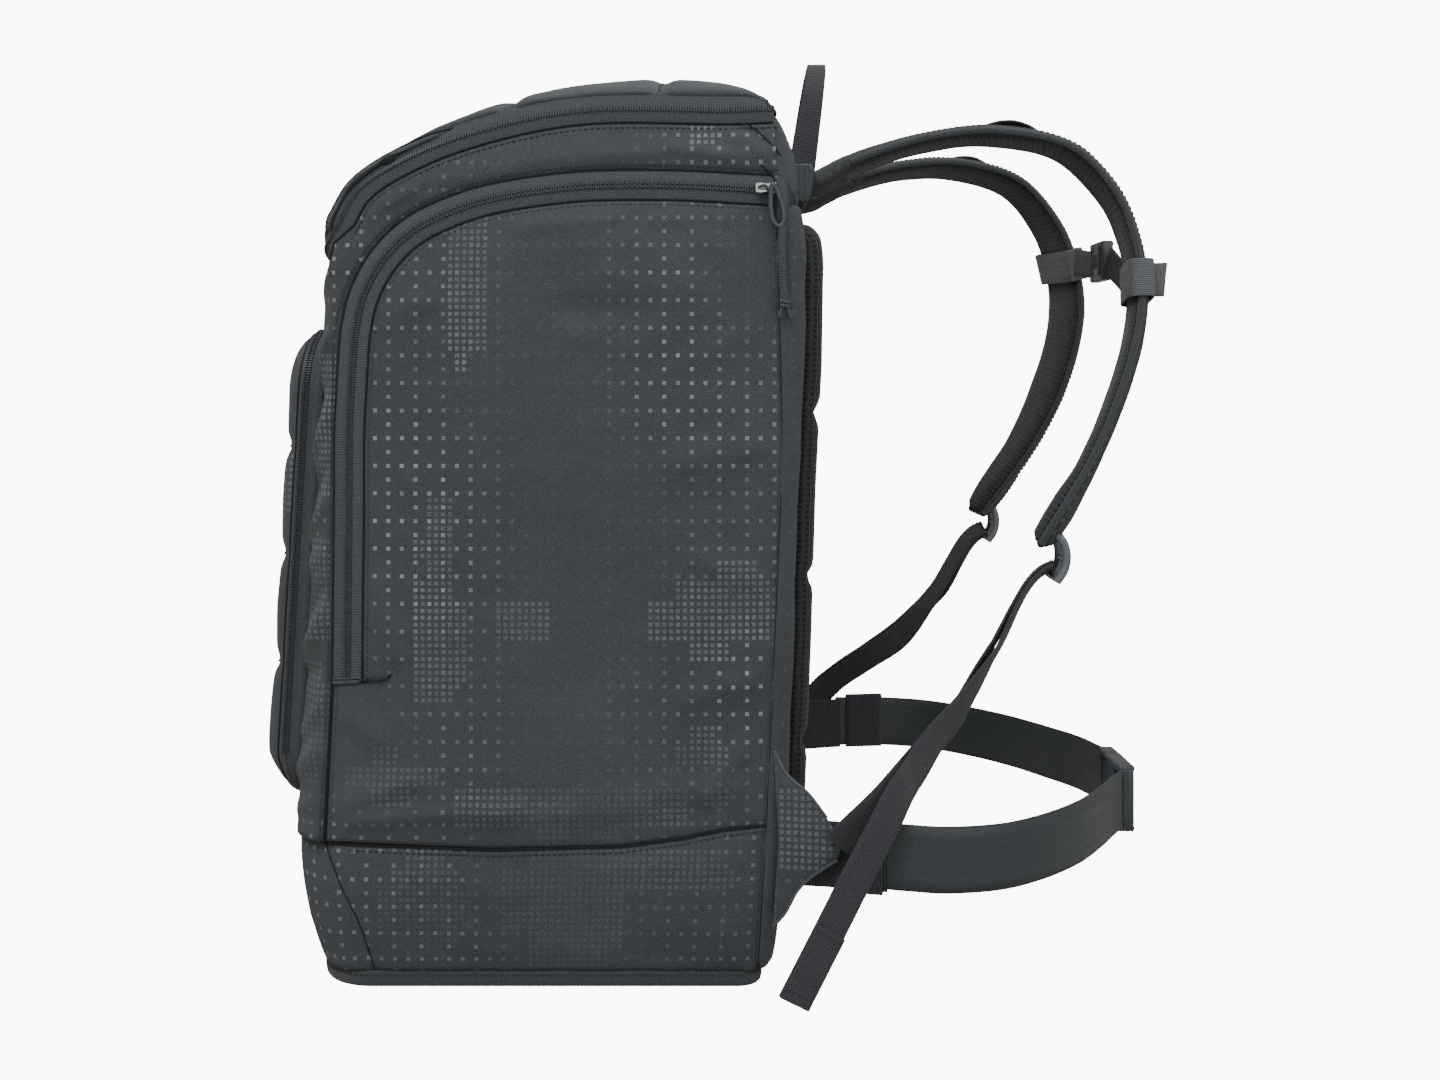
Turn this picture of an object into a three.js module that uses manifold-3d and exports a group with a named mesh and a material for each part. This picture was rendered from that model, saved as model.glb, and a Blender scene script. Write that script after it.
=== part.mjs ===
// Ski boot bag: a 60 litre backpack with a boot compartment on each side, a domed lid, a front
// pocket, shoulder straps with a sternum strap, and a hip belt.
// Millimetres. +X points to the wearer, -Y is the wearer's right, +Z is up, and the origin is
// the middle of the base, on the floor.
import * as THREE from "three";
import { mergeVertices } from "three/addons/utils/BufferGeometryUtils.js";
import Module from "manifold-3d";

const wasm = await Module();
wasm.setup();

// Driving dimensions
const HALF_WIDTH = 170; // the side panels' outer faces
const WALL = 4; // padded fabric wall
const GAP = 0.4; // between neighbouring pieces
const TAPE_IN = 4; // zip tape, from its teeth towards the panel that opens
const TAPE_OUT = 8; // zip tape, from its teeth towards the fixed panel
const DIVIDER_Y = 56; // inner wall of each boot compartment
const BELT_HEIGHT = 40;
const BELT_THICK = 2.2;
const BELT_Z = 83;
const WEBBING_WIDTH = 20;
const WEBBING_THICK = 1.8;
const PAD_WIDTH = 60;
const PAD_THICK = 12;
const STERNUM_HEIGHT = 24;
const ZIP_A = [130, 484]; // each side door's hinge line runs from here
const ZIP_B = [-123, 187]; // to here, in X and Z

// Outlines in the side view, as [x, z]
const DOOR_ZIP = [
  ZIP_A, [66, 487], [5, 485], [-52, 474], [-90, 454],
  [-113, 420], [-121, 354], [-122, 285], ZIP_B,
];
const LID_EDGE = [[133, 532], [22, 532], [-30, 523], [-82, 506], [-118, 484], [-129.4, 464]];
const REAR_SEAM = [[11, 125], [140, 132], [327, 140], [467, 136], [524, 134]]; // as [z, x]
const BACK_FACE = [
  [11, 133], [60, 138], [100, 141], [200, 145], [300, 148],
  [380, 152], [446, 153], [478, 150], [505, 146], [528, 137],
];
const FRONT_FACE = [[10, -144], [40, -152], [91, -158], [390, -141], [450, -138]]; // as [z, x]
const FRONT_EDGE = [[90, -136.4], [187, -132.4], [354, -130.6], [460, -130.4]]; // as [z, x]
const BASE_SEAM = [
  [-158, 96], [-137, 90], [-92, 88], [-37, 86], [43, 88], [80, 93], [104, 98], [131, 101],
]; // as [x, z]
const BODY_CENTRE = new THREE.Vector3(0, 0, 270);

// Numbers along a table of [where, value] rows, straight between them
function valueAt(table, where) {
  const last = table.length - 1;
  if (where <= table[0][0]) return table[0][1];
  if (where >= table[last][0]) return table[last][1];
  const i = table.findIndex((row) => row[0] >= where);
  const [[x0, y0], [x1, y1]] = [table[i - 1], table[i]];
  return y0 + ((y1 - y0) * (where - x0)) / (x1 - x0);
}

function vec(x, y, z) {
  return new THREE.Vector3(x, y, z);
}

// A smooth run of 2-D points through a few chosen ones
function smooth2D(points, steps) {
  const curve = new THREE.SplineCurve(points.map(([x, z]) => new THREE.Vector2(x, z)));
  return curve.getPoints(steps).map((p) => [p.x, p.y]);
}

function smooth3D(points, steps) {
  const curve = new THREE.CatmullRomCurve3(points.map((p) => vec(...p)));
  return curve.getPoints(steps);
}

// A 2-D line moved sideways, to its left for a positive distance
function offset2D(points, distance) {
  return points.map(([x, z], i) => {
    const [x0, z0] = points[Math.max(i - 1, 0)];
    const [x1, z1] = points[Math.min(i + 1, points.length - 1)];
    const length = Math.hypot(x1 - x0, z1 - z0);
    return [x - ((z1 - z0) / length) * distance, z + ((x1 - x0) / length) * distance];
  });
}

// One mesh from loose triangles, turned to face outwards
function geometryOf(triangles) {
  let volume = 0;
  for (const [a, b, c] of triangles) volume += a.dot(b.clone().cross(c));
  const corners = volume < 0 ? triangles.map(([a, b, c]) => [a, c, b]) : triangles;
  const geometry = new THREE.BufferGeometry().setFromPoints(corners.flat());
  geometry.computeVertexNormals();
  return geometry;
}

function pushQuad(triangles, a, b, c, d) {
  triangles.push([a, b, c], [a, c, d]);
}

// A closed wall between two grids of points; wraps joins the last column to the first
function wallBetween(outer, inner, wraps = false) {
  const triangles = [];
  const rows = outer.length;
  const columns = outer[0].length;
  const across = wraps ? columns : columns - 1;
  for (let j = 0; j < across; j++) {
    const k = (j + 1) % columns;
    for (let i = 0; i < rows - 1; i++) {
      pushQuad(triangles, outer[i][j], outer[i][k], outer[i + 1][k], outer[i + 1][j]);
      pushQuad(triangles, inner[i][j], inner[i + 1][j], inner[i + 1][k], inner[i][k]);
    }
    pushQuad(triangles, outer[0][k], outer[0][j], inner[0][j], inner[0][k]);
    pushQuad(triangles, outer[rows - 1][j], outer[rows - 1][k], inner[rows - 1][k], inner[rows - 1][j]);
  }
  if (!wraps) {
    for (let i = 0; i < rows - 1; i++) {
      const end = columns - 1;
      pushQuad(triangles, outer[i][0], outer[i + 1][0], inner[i + 1][0], inner[i][0]);
      pushQuad(triangles, outer[i + 1][end], outer[i][end], inner[i][end], inner[i + 1][end]);
    }
  }
  return geometryOf(triangles);
}

// The grid moved by a wall's thickness, towards a point inside the object. Where a panel ends on
// the side faces, its end columns move straight in along Y.
function movedInward(grid, thickness, inside = BODY_CENTRE, endsOnSides = false) {
  const rows = grid.length;
  const columns = grid[0].length;
  return grid.map((row, i) =>
    row.map((point, j) => {
      if (endsOnSides && (j === 0 || j === columns - 1)) {
        return point.clone().setY(point.y - Math.sign(point.y) * thickness);
      }
      const along = grid[Math.min(i + 1, rows - 1)][j].clone().sub(grid[Math.max(i - 1, 0)][j]);
      const across = row[Math.min(j + 1, columns - 1)].clone().sub(row[Math.max(j - 1, 0)]);
      const normal = along.cross(across).normalize();
      const towards = Math.sign(normal.dot(inside.clone().sub(point)));
      return point.clone().addScaledVector(normal, towards * thickness);
    }),
  );
}

// A flat plate parallel to the XZ plane, from an outline of [x, z] points
function sidePlate(outline, yOuter, thickness) {
  const shape = new THREE.Shape(outline.map(([x, z]) => new THREE.Vector2(x, z)));
  const geometry = new THREE.ExtrudeGeometry(shape, { depth: thickness, bevelEnabled: false });
  geometry.rotateX(Math.PI / 2);
  const shift = yOuter < 0 ? yOuter + thickness : yOuter;
  return geometry.translate(0, shift, 0);
}

// A strap: a rectangle swept along points. twist turns its width from Y towards the path's
// own plane, in degrees, and width and thickness may change along the path.
function ribbon(path, twistAt, widthAt, thickness) {
  const last = path.length - 1;
  const sections = path.map((point, i) => {
    const t = i / last;
    const tangent = path[Math.min(i + 1, last)].clone().sub(path[Math.max(i - 1, 0)]).normalize();
    const side = vec(0, 1, 0).addScaledVector(tangent, -tangent.y).normalize();
    const up = tangent.clone().cross(side);
    const angle = THREE.MathUtils.degToRad(twistAt(t, point));
    const wide = side.clone().multiplyScalar(Math.cos(angle)).addScaledVector(up, Math.sin(angle));
    const thick = tangent.clone().cross(wide);
    const half = widthAt(t) / 2;
    return [[half, 1], [-half, 1], [-half, -1], [half, -1]].map(([w, s]) =>
      point.clone().addScaledVector(wide, w).addScaledVector(thick, (s * thickness) / 2),
    );
  });
  const triangles = [];
  for (let i = 0; i < last; i++) {
    for (let j = 0; j < 4; j++) {
      const k = (j + 1) % 4;
      pushQuad(triangles, sections[i][j], sections[i][k], sections[i + 1][k], sections[i + 1][j]);
    }
  }
  pushQuad(triangles, ...[...sections[0]].reverse());
  pushQuad(triangles, ...sections[last]);
  return geometryOf(triangles);
}

// A strap standing on edge: its height along Z, along a plan path of [x, y] points
function standingBand(plan, zAt, height, thickness, steps) {
  const path = smooth3D(plan.map(([x, y]) => [x, y, 0]), steps);
  const last = path.length - 1;
  const outer = [];
  const inner = [];
  path.forEach((point, i) => {
    const tangent = path[Math.min(i + 1, last)].clone().sub(path[Math.max(i - 1, 0)]).normalize();
    const normal = vec(-tangent.y, tangent.x, 0).multiplyScalar(thickness / 2);
    for (const [side, offset] of [[outer, normal], [inner, normal.clone().negate()]]) {
      const middle = point.clone().add(offset);
      side.push([-0.5, 0.5].map((h) => vec(middle.x, middle.y, zAt(i / last) + h * height)));
    }
  });
  return wallBetween(outer, inner);
}

// A sleeve round a strap: rings of eight points with a hollow for the strap
function sleeve(centre, along, wide, height, innerSize, outerSize) {
  const tangent = along.clone().normalize();
  const side = wide.clone().addScaledVector(tangent, -wide.dot(tangent)).normalize();
  const thick = tangent.clone().cross(side);
  const ring = (level, [w, t], cut) => {
    const corners = [[1, 1], [-1, 1], [-1, -1], [1, -1]];
    return corners.flatMap(([a, b], i) => {
      const first = [(a * w) / 2, (b * (t - 2 * cut)) / 2];
      const second = [(a * (w - 2 * cut)) / 2, (b * t) / 2];
      const pair = i % 2 ? [second, first] : [first, second];
      return pair.map(([p, q]) =>
        centre.clone().addScaledVector(tangent, level).addScaledVector(side, p).addScaledVector(thick, q),
      );
    });
  };
  const levels = [-height / 2, height / 2];
  const outer = levels.map((level) => ring(level, outerSize, 1.2));
  const inner = levels.map((level) => ring(level, innerSize, 0.8));
  return wallBetween(outer, inner, true);
}

// Boolean work on closed geometries
function toSolid(geometry) {
  const bare = geometry.index ? geometry.toNonIndexed() : geometry.clone();
  bare.deleteAttribute("normal");
  bare.deleteAttribute("uv");
  const merged = mergeVertices(bare, 1e-4);
  return new wasm.Manifold(
    new wasm.Mesh({
      numProp: 3,
      vertProperties: new Float32Array(merged.attributes.position.array),
      triVerts: new Uint32Array(merged.index.array),
    }),
  );
}

function fromSolid(solid) {
  const mesh = solid.getMesh();
  const geometry = new THREE.BufferGeometry();
  geometry.setAttribute("position", new THREE.BufferAttribute(mesh.vertProperties, 3));
  geometry.setIndex(new THREE.BufferAttribute(mesh.triVerts, 1));
  const flat = geometry.toNonIndexed();
  flat.computeVertexNormals();
  return flat;
}

function block(sx, sy, sz, x = 0, y = 0, z = 0) {
  return toSolid(new THREE.BoxGeometry(sx, sy, sz).translate(x, y, z));
}

const bag = new THREE.Group();
bag.name = "ski_boot_bag";

const FINISHES = {
  fabric: { color: 0x44484c, roughness: 0.85, metalness: 0 },
  lining: { color: 0x2f3235, roughness: 0.9, metalness: 0 },
  mesh: { color: 0x26282a, roughness: 0.95, metalness: 0 },
  webbing: { color: 0x3c4042, roughness: 0.8, metalness: 0 },
  zip: { color: 0x44484b, roughness: 0.75, metalness: 0 },
  plastic: { color: 0x2c3033, roughness: 0.45, metalness: 0 },
  metal: { color: 0xb8bcc0, roughness: 0.3, metalness: 1 },
  sheet: { color: 0x1c1d1f, roughness: 0.5, metalness: 0 },
};

function add(name, geometry, finish) {
  const mesh = new THREE.Mesh(geometry, new THREE.MeshStandardMaterial(FINISHES[finish]));
  mesh.name = name;
  bag.add(mesh);
  return mesh;
}

const SIDES = [["right", -1], ["left", 1]];

// The side wall's distance from the middle, which draws in above the base
function halfWidthAt(z) {
  return valueAt([[10, 164], [60, HALF_WIDTH]], z);
}

// Base: a stiff floor, a bound edge round it, and the tub wall above
function roundedRectangle(x0, x1, y, front, rear) {
  const shape = new THREE.Shape();
  shape.moveTo(x0 + front, -y);
  shape.lineTo(x1 - rear, -y);
  shape.absarc(x1 - rear, -y + rear, rear, -Math.PI / 2, 0);
  shape.lineTo(x1, y - rear);
  shape.absarc(x1 - rear, y - rear, rear, 0, Math.PI / 2);
  shape.lineTo(x0 + front, y);
  shape.absarc(x0 + front, y - front, front, Math.PI / 2, Math.PI);
  shape.lineTo(x0, -y + front);
  shape.absarc(x0 + front, -y + front, front, Math.PI, 1.5 * Math.PI);
  return shape;
}

function buildBase() {
  const height = 10;
  const inset = 6;
  const [x0, x1, y, front, rear] = [-144, 127, 163.5, 34, 14];
  const within = (margin) =>
    roundedRectangle(x0 + margin, x1 - margin, y - margin, front - inset, rear - inset);
  const extrude = (shape, depth) =>
    new THREE.ExtrudeGeometry(shape, { depth, bevelEnabled: false, curveSegments: 5 });
  add("base_panel", extrude(within(inset + GAP), WALL), "fabric");
  const ring = roundedRectangle(x0, x1, y, front, rear);
  ring.holes.push(within(inset));
  add("base_binding", extrude(ring, height - GAP).translate(0, 0, GAP / 2), "webbing");
}

// A point of the front corner: degrees 0 is on the side face, 90 is on the front face
function frontCorner(z, degrees, sideX, frontX, side) {
  const radius = 34;
  const angle = THREE.MathUtils.degToRad(degrees);
  const x = sideX + (frontX - sideX) * Math.sin(angle);
  const y = halfWidthAt(z) - radius * (1 - Math.cos(angle));
  return vec(x, side * y, z);
}

const CORNER_STEPS = [0, 22.5, 45, 67.5, 90];

// The tub's wall, from one rear seam round the front to the other
function buildTub() {
  const rows = [0, 0.35, 0.7, 1].map((v) => {
    const half = (side) => {
      const heightAt = (x) => 10.6 + v * (valueAt(BASE_SEAM, x) - GAP - 10.6);
      const rearX = valueAt(REAR_SEAM, heightAt(130)) - GAP;
      const along = [rearX, 104, 80, 43, -37, -92].map((x) =>
        vec(x, side * halfWidthAt(heightAt(x)), heightAt(x)),
      );
      const corner = CORNER_STEPS.map((degrees) => {
        const z = heightAt(-120 - (38 * degrees) / 90);
        return frontCorner(z, degrees, -120, valueAt(FRONT_FACE, z), side);
      });
      return [...along, ...corner];
    };
    return [...half(-1), ...half(1).reverse()];
  });
  add("base_tub", wallBetween(rows, movedInward(rows, WALL, vec(0, 0, 60), true)), "fabric");
}

// The front panel wraps both front corners
function buildFrontPanel() {
  const rows = [0, 0.2, 0.5, 0.8, 1].map((v) => {
    const half = (side) =>
      CORNER_STEPS.map((degrees) => {
        const bottom = 90.6 + (6 * degrees) / 90;
        const top = 447 - 19 * Math.min(degrees / 67.5, 1);
        const z = bottom + v * (top - bottom);
        return frontCorner(z, degrees, valueAt(FRONT_EDGE, z), valueAt(FRONT_FACE, z), side);
      });
    return [...half(-1), ...half(1).reverse()];
  });
  add("front_panel", wallBetween(rows, movedInward(rows, WALL, BODY_CENTRE, true)), "fabric");
}

// The back wraps both rear corners, up to the seam of each side
function backRows(levels) {
  const radius = 12;
  return levels.map((z) => {
    const seam = valueAt(REAR_SEAM, z) + GAP;
    const face = valueAt(BACK_FACE, z);
    const half = (side) =>
      [0, 30, 60, 90].map((degrees) => {
        const angle = THREE.MathUtils.degToRad(degrees);
        const y = halfWidthAt(z) - radius * (1 - Math.cos(angle));
        return vec(seam + (face - seam) * Math.sin(angle), side * y, z);
      });
    return [...half(-1), ...half(1).reverse()];
  });
}

function buildBack() {
  const inside = vec(0, 0, 300);
  const panel = backRows([11, 60, 100, 140, 230, 327, 380, 446, 478]);
  add("back_panel", wallBetween(panel, movedInward(panel, WALL, inside, true)), "fabric");
  const top = backRows([478.4, 492, 505, 518, 527]);
  add("top_rear_panel", wallBetween(top, movedInward(top, WALL, inside, true)), "fabric");
  const levels = [30, 100, 200, 300, 380, 446, 470];
  const across = (depth, y) =>
    levels.map((z) => [-y, y].map((q) => vec(valueAt(BACK_FACE, z) + depth, q, z)));
  add("frame_sheet", wallBetween(across(-WALL - 1.5, 120), across(-WALL - 3.1, 120)), "sheet");
}

// The back pad of mesh-covered foam
function buildBackPad() {
  const thickness = 14;
  const levels = [35, 43, 60, 100, 200, 300, 380, 446, 460, 468];
  const widths = [-118, -108, 0, 108, 118];
  const rounding = (z, y) => {
    const end = Math.min((z - 33) / 12, (470 - z) / 12, (120 - Math.abs(y)) / 10, 1);
    return Math.sqrt(1 - (1 - end) ** 2);
  };
  const face = (z, y) => valueAt(BACK_FACE, z) + GAP + 4 + (thickness - 4) * rounding(z, y);
  const outer = levels.map((z) => widths.map((y) => vec(face(z, y), y, z)));
  const inner = levels.map((z) => widths.map((y) => vec(valueAt(BACK_FACE, z) + GAP, y, z)));
  add("back_pad", wallBetween(outer, inner), "mesh");
}

// The side face: a zip tape, a door inside it, a band above it and a fixed panel below it.
// The zip's line runs from the rear top corner forwards and down.
function buildSide(name, side) {
  const y = side * HALF_WIDTH;
  const teeth = smooth2D(DOOR_ZIP, 28);
  const tapeOuter = offset2D(teeth, -TAPE_OUT);
  const tapeInner = offset2D(teeth, TAPE_IN);
  add(`door_zip_${name}`, sidePlate([...tapeInner, ...[...tapeOuter].reverse()], y, 2.4), "zip");
  const hinge = doorHinge(GAP);
  const rim = offset2D(teeth, TAPE_IN + 3 * GAP).filter(([x, z]) => hinge.beyond(x, z) > 4);
  const door = [hinge.cross(rim[0]), ...rim, hinge.cross(rim[rim.length - 1])];
  add(`side_door_${name}`, sidePlate(door, y, WALL), "fabric");
  buildSideBand(name, y, offset2D(teeth, -TAPE_OUT - GAP));
  buildFixedSide(name, y);
}

// The door's hinge line, moved a little towards the door
function doorHinge(shift) {
  const [dx, dz] = [ZIP_A[0] - ZIP_B[0], ZIP_A[1] - ZIP_B[1]];
  const length = Math.hypot(dx, dz);
  const [nx, nz] = [-dz / length, dx / length];
  const beyond = (x, z) => (x - ZIP_A[0]) * nx + (z - ZIP_A[1]) * nz - shift;
  const cross = ([x, z]) => [x - nx * beyond(x, z), z - nz * beyond(x, z)];
  return { beyond, cross };
}

function buildSideBand(name, y, tapeEdge) {
  const seam = offset2D(LID_EDGE, TAPE_OUT + GAP);
  const top = seam.map(([x, z]) => [Math.max(x, -129.4), z]);
  const below = tapeEdge.filter(([x, z]) => x > -129.2 && z > 345);
  const front = -129.4;
  const corner = [front, below[below.length - 1][1]];
  const outline = [...top, corner, ...[...below].reverse(), [133.6, below[0][1]]];
  add(`side_band_${name}`, sidePlate(outline, y, WALL), "fabric");
}

function buildFixedSide(name, y) {
  const rear = [476, 420, 327, 230, 140, 101.6].map((z) => [valueAt(REAR_SEAM, z) - GAP, z]);
  const base = [...BASE_SEAM].reverse().filter(([x]) => x < 130 && x > -136).map(([x, z]) => [x, z + GAP]);
  const hinge = doorHinge(-GAP / 2);
  const slope = (ZIP_A[1] - ZIP_B[1]) / (ZIP_A[0] - ZIP_B[0]);
  const onHinge = (x) => [x, ZIP_B[1] + (x - ZIP_B[0]) * slope - GAP];
  const zipEnd = [ZIP_B[0] + TAPE_IN + GAP, ZIP_B[1] - GAP];
  const front = [[-135.4, 90.8], [-131.2, zipEnd[1]], zipEnd];
  const outline = [...rear, ...base, ...front, onHinge(zipEnd[0]), hinge.cross([128, 474])];
  add(`side_panel_${name}`, sidePlate(outline, y, WALL), "fabric");
}

// The two walls between the boots and the main compartment
function buildDivider(name, side) {
  const outline = [[-130, 16], [118, 16], [124, 140], [132, 327], [128, 470], [-95, 440], [-128, 380]];
  add(`boot_divider_${name}`, sidePlate(outline, side * DIVIDER_Y, 2), "lining");
}

// The lid: a domed cap. Each row runs from one side edge over the crown to the other.
// Rows go from the front to the rear; at says where along the side edge a row ends.
const LID_ROWS = [
  { at: 1, crown: [-140, 448] },
  { at: 0.9, crown: [-135, 464] },
  { at: 0.8, crown: [-126, 481] },
  { at: 0.7, crown: [-113, 501] },
  { at: 0.6, crown: [-92, 519] },
  { at: 0.5, crown: [-62, 535.5] },
  { at: 0.4, crown: [-31, 548] },
  { at: 0.3, crown: [-2, 556] },
  { at: 0.2, crown: [30, 560.5] },
  { at: 0.1, crown: [70, 560.5] },
  { at: 0.04, crown: [104, 553.5] },
  { at: 0.015, crown: [127, 546] },
  { at: 0, crown: [135.5, 536.6] },
];
const LID_ACROSS = [-1, -0.94, -0.82, -0.65, -0.45, -0.22, 0, 0.22, 0.45, 0.65, 0.82, 0.94, 1];
const LID_STEPS = 200;

function lidEdge(offset) {
  return offset2D(smooth2D(LID_EDGE, LID_STEPS), offset);
}

function lidRow({ at, crown }, i) {
  const [edgeX, edgeZ] = lidEdge(-TAPE_IN - 1.5 * GAP)[Math.round(at * LID_STEPS)];
  const power = 2 / valueAt([[0, 5], [1, 3.8], [2, 2.8], [4, 2.3]], i);
  return LID_ACROSS.map((u) => {
    const angle = (Math.abs(u) * Math.PI) / 2;
    const y = Math.sign(u) * HALF_WIDTH * Math.sin(angle) ** power;
    const fall = 1 - Math.max(Math.cos(angle), 0) ** power;
    return vec(crown[0] + (edgeX - crown[0]) * fall, y, crown[1] + (edgeZ - crown[1]) * fall);
  });
}

function buildLid() {
  const rows = LID_ROWS.map(lidRow);
  const inner = movedInward(rows, WALL, vec(20, 0, 420), true);
  for (const i of [0, rows.length - 1]) inner[i].forEach((p, j) => p.setZ(Math.max(p.z, rows[i][j].z)));
  add("lid_panel", wallBetween(rows, inner), "fabric");
}

// The zip tape under the lid: along both sides and round the front, under the lid's first row
function buildLidZip() {
  const rim = lidRow(LID_ROWS[0], 0).slice(1, -1);
  const run = (offset, drop) => {
    const edge = lidEdge(offset);
    const side = [...LID_ROWS].reverse().map(({ at }) => edge[Math.round(at * LID_STEPS)]);
    side[side.length - 1][1] -= 2 * GAP;
    const half = (sign) => side.map(([x, z]) => vec(Math.min(x, 132.4), sign * HALF_WIDTH, z));
    const front = rim.map((p) => p.clone().setZ(p.z - drop));
    return [...half(-1), ...front, ...half(1).reverse()];
  };
  const drop = 20 * GAP;
  const rows = [run(-TAPE_IN + 5 * GAP, drop), run(TAPE_OUT, drop + TAPE_OUT)];
  const tape = toSolid(wallBetween(rows, movedInward(rows, 2.4, vec(0, 0, 440))));
  const lid = toSolid(bag.getObjectByName("lid_panel").geometry);
  const trimmed = [0, -1, -2].reduce((left, drop) => left.subtract(lid.translate([0, 0, drop * GAP])), tape);
  const pieces = trimmed.decompose().sort((a, b) => b.volume() - a.volume());
  add("lid_zip", fromSolid(pieces[0]), "zip");
}

// Front pocket: a gusset that stands off the front panel, and a domed flap hinged at its foot
const POCKET = { halfWidth: 146, bottom: 106, top: 400, radius: 38, depth: 14, bulge: 15 };

function pocketOutline(inset) {
  const { halfWidth, bottom, top, radius } = POCKET;
  const shape = new THREE.Shape();
  const r = Math.max(radius - inset, 6);
  const [y, z0, z1] = [halfWidth - inset, bottom + inset, top - inset];
  shape.moveTo(-y + r, z0);
  shape.lineTo(y - r, z0);
  shape.absarc(y - r, z0 + r, r, -Math.PI / 2, 0);
  shape.lineTo(y, z1 - r);
  shape.absarc(y - r, z1 - r, r, 0, Math.PI / 2);
  shape.lineTo(-y + r, z1);
  shape.absarc(-y + r, z1 - r, r, Math.PI / 2, Math.PI);
  shape.lineTo(-y, z0 + r);
  shape.absarc(-y + r, z0 + r, r, Math.PI, 1.5 * Math.PI);
  return shape.getSpacedPoints(40).slice(0, -1);
}

function pocketRing(inset, stand) {
  const foot = (z) => Math.min((z - 96) / 40, 1) ** 0.5;
  const standAt = (z) => (stand > 2 ? stand * foot(z) : stand);
  return pocketOutline(inset).map((p) => vec(valueAt(FRONT_FACE, p.y) - standAt(p.y), p.x, p.y));
}

function buildPocket() {
  const { depth, bulge } = POCKET;
  const gussetOuter = [pocketRing(0, GAP), pocketRing(0, depth)];
  const gussetInner = [pocketRing(3, GAP), pocketRing(3, depth)];
  add("pocket_gusset", wallBetween(gussetOuter, gussetInner, true), "fabric");
  const dome = (shell) =>
    [[0, 0], [5, 0.45], [18, 0.8], [50, 0.96], [95, 1]].map(([inset, rise]) =>
      pocketRing(Math.max(inset, shell), depth + 2 * GAP + bulge * rise - (inset ? shell : 0)),
    );
  const [outer, inner] = [dome(0), dome(3)];
  const triangles = [];
  for (const [grid, faces] of [[outer, 1], [inner, -1]]) {
    const count = grid[0].length;
    const last = grid[grid.length - 1];
    const middle = last.reduce((sum, p) => sum.add(p), vec(0, 0, 0)).divideScalar(count);
    for (let j = 0; j < count; j++) {
      const k = (j + 1) % count;
      for (let i = 0; i < grid.length - 1; i++) {
        const face = [grid[i][j], grid[i][k], grid[i + 1][k], grid[i + 1][j]];
        pushQuad(triangles, ...(faces > 0 ? face : face.reverse()));
      }
      triangles.push(faces > 0 ? [last[j], last[k], middle] : [last[k], last[j], middle]);
    }
  }
  const count = outer[0].length;
  for (let j = 0; j < count; j++) {
    const k = (j + 1) % count;
    pushQuad(triangles, outer[0][k], outer[0][j], inner[0][j], inner[0][k]);
  }
  add("pocket_flap", geometryOf(triangles), "fabric");
}

// Hip wings: a fabric triangle from each rear seam out to the belt
function buildWing(name, side) {
  const outline = [
    [134.5, 146], [142, 132], [155, 121], [166, 107], [178, 83],
    [158, 72], [149, 63], [141, 48], [134, 40],
  ];
  const yAt = (x) => side * (170.5 + ((x - 134) / 44) * 9);
  const geometry = sidePlate(outline, -1.5, 3);
  const points = geometry.attributes.position;
  for (let i = 0; i < points.count; i++) points.setY(i, points.getY(i) + yAt(points.getX(i)) + side * 1.5);
  geometry.computeVertexNormals();
  add(`hip_wing_${name}`, geometry, "fabric");
}

// Hip belt: a stitched anchor behind each wing, then a half belt that swings from its end
const ANCHOR_PLAN = [[152, 166.5], [166, 168.6], [181.5, 173], [202, 178.3]];
const BELT_PLAN = [
  [203.8, 178.8], [220, 181.6], [236, 183], [270, 175],
  [300, 154], [330, 122], [354, 85], [371, 55],
];
const BELT_END = { right: [379, 42], left: [382, 19.5] };
// The right keeper sits on the stitched anchor, and the left one has slid along its half belt
const KEEPERS = {
  right: { x: 192, y: 175.7, slope: 0.26, size: 15, lift: 0 },
  left: { x: 222, y: 181.7, slope: 0.12, size: 30, lift: 1.6 },
};

function buildBelt(name, side) {
  const anchor = ANCHOR_PLAN.map(([x, y]) => [x, side * y]);
  add(`belt_anchor_${name}`, standingBand(anchor, () => BELT_Z, BELT_HEIGHT, 3, 6), "webbing");
  const plan = [...BELT_PLAN, BELT_END[name]].map(([x, y]) => [x, side * y]);
  const zAt = (t) => BELT_Z + 2 - 4 * t;
  add(`hip_belt_${name}`, standingBand(plan, zAt, BELT_HEIGHT, BELT_THICK, 26), "webbing");
  const keeper = KEEPERS[name];
  const centre = vec(keeper.x, side * keeper.y, BELT_Z + keeper.lift);
  const along = vec(1, side * keeper.slope, 0);
  const inside = [BELT_HEIGHT + 2.4, 4.8];
  const outside = [BELT_HEIGHT + 4.4, 6.6];
  const geometry = sleeve(centre, along, vec(0, 0, 1), keeper.size, inside, outside);
  add(`belt_keeper_${name}`, geometry, "webbing");
}

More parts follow.
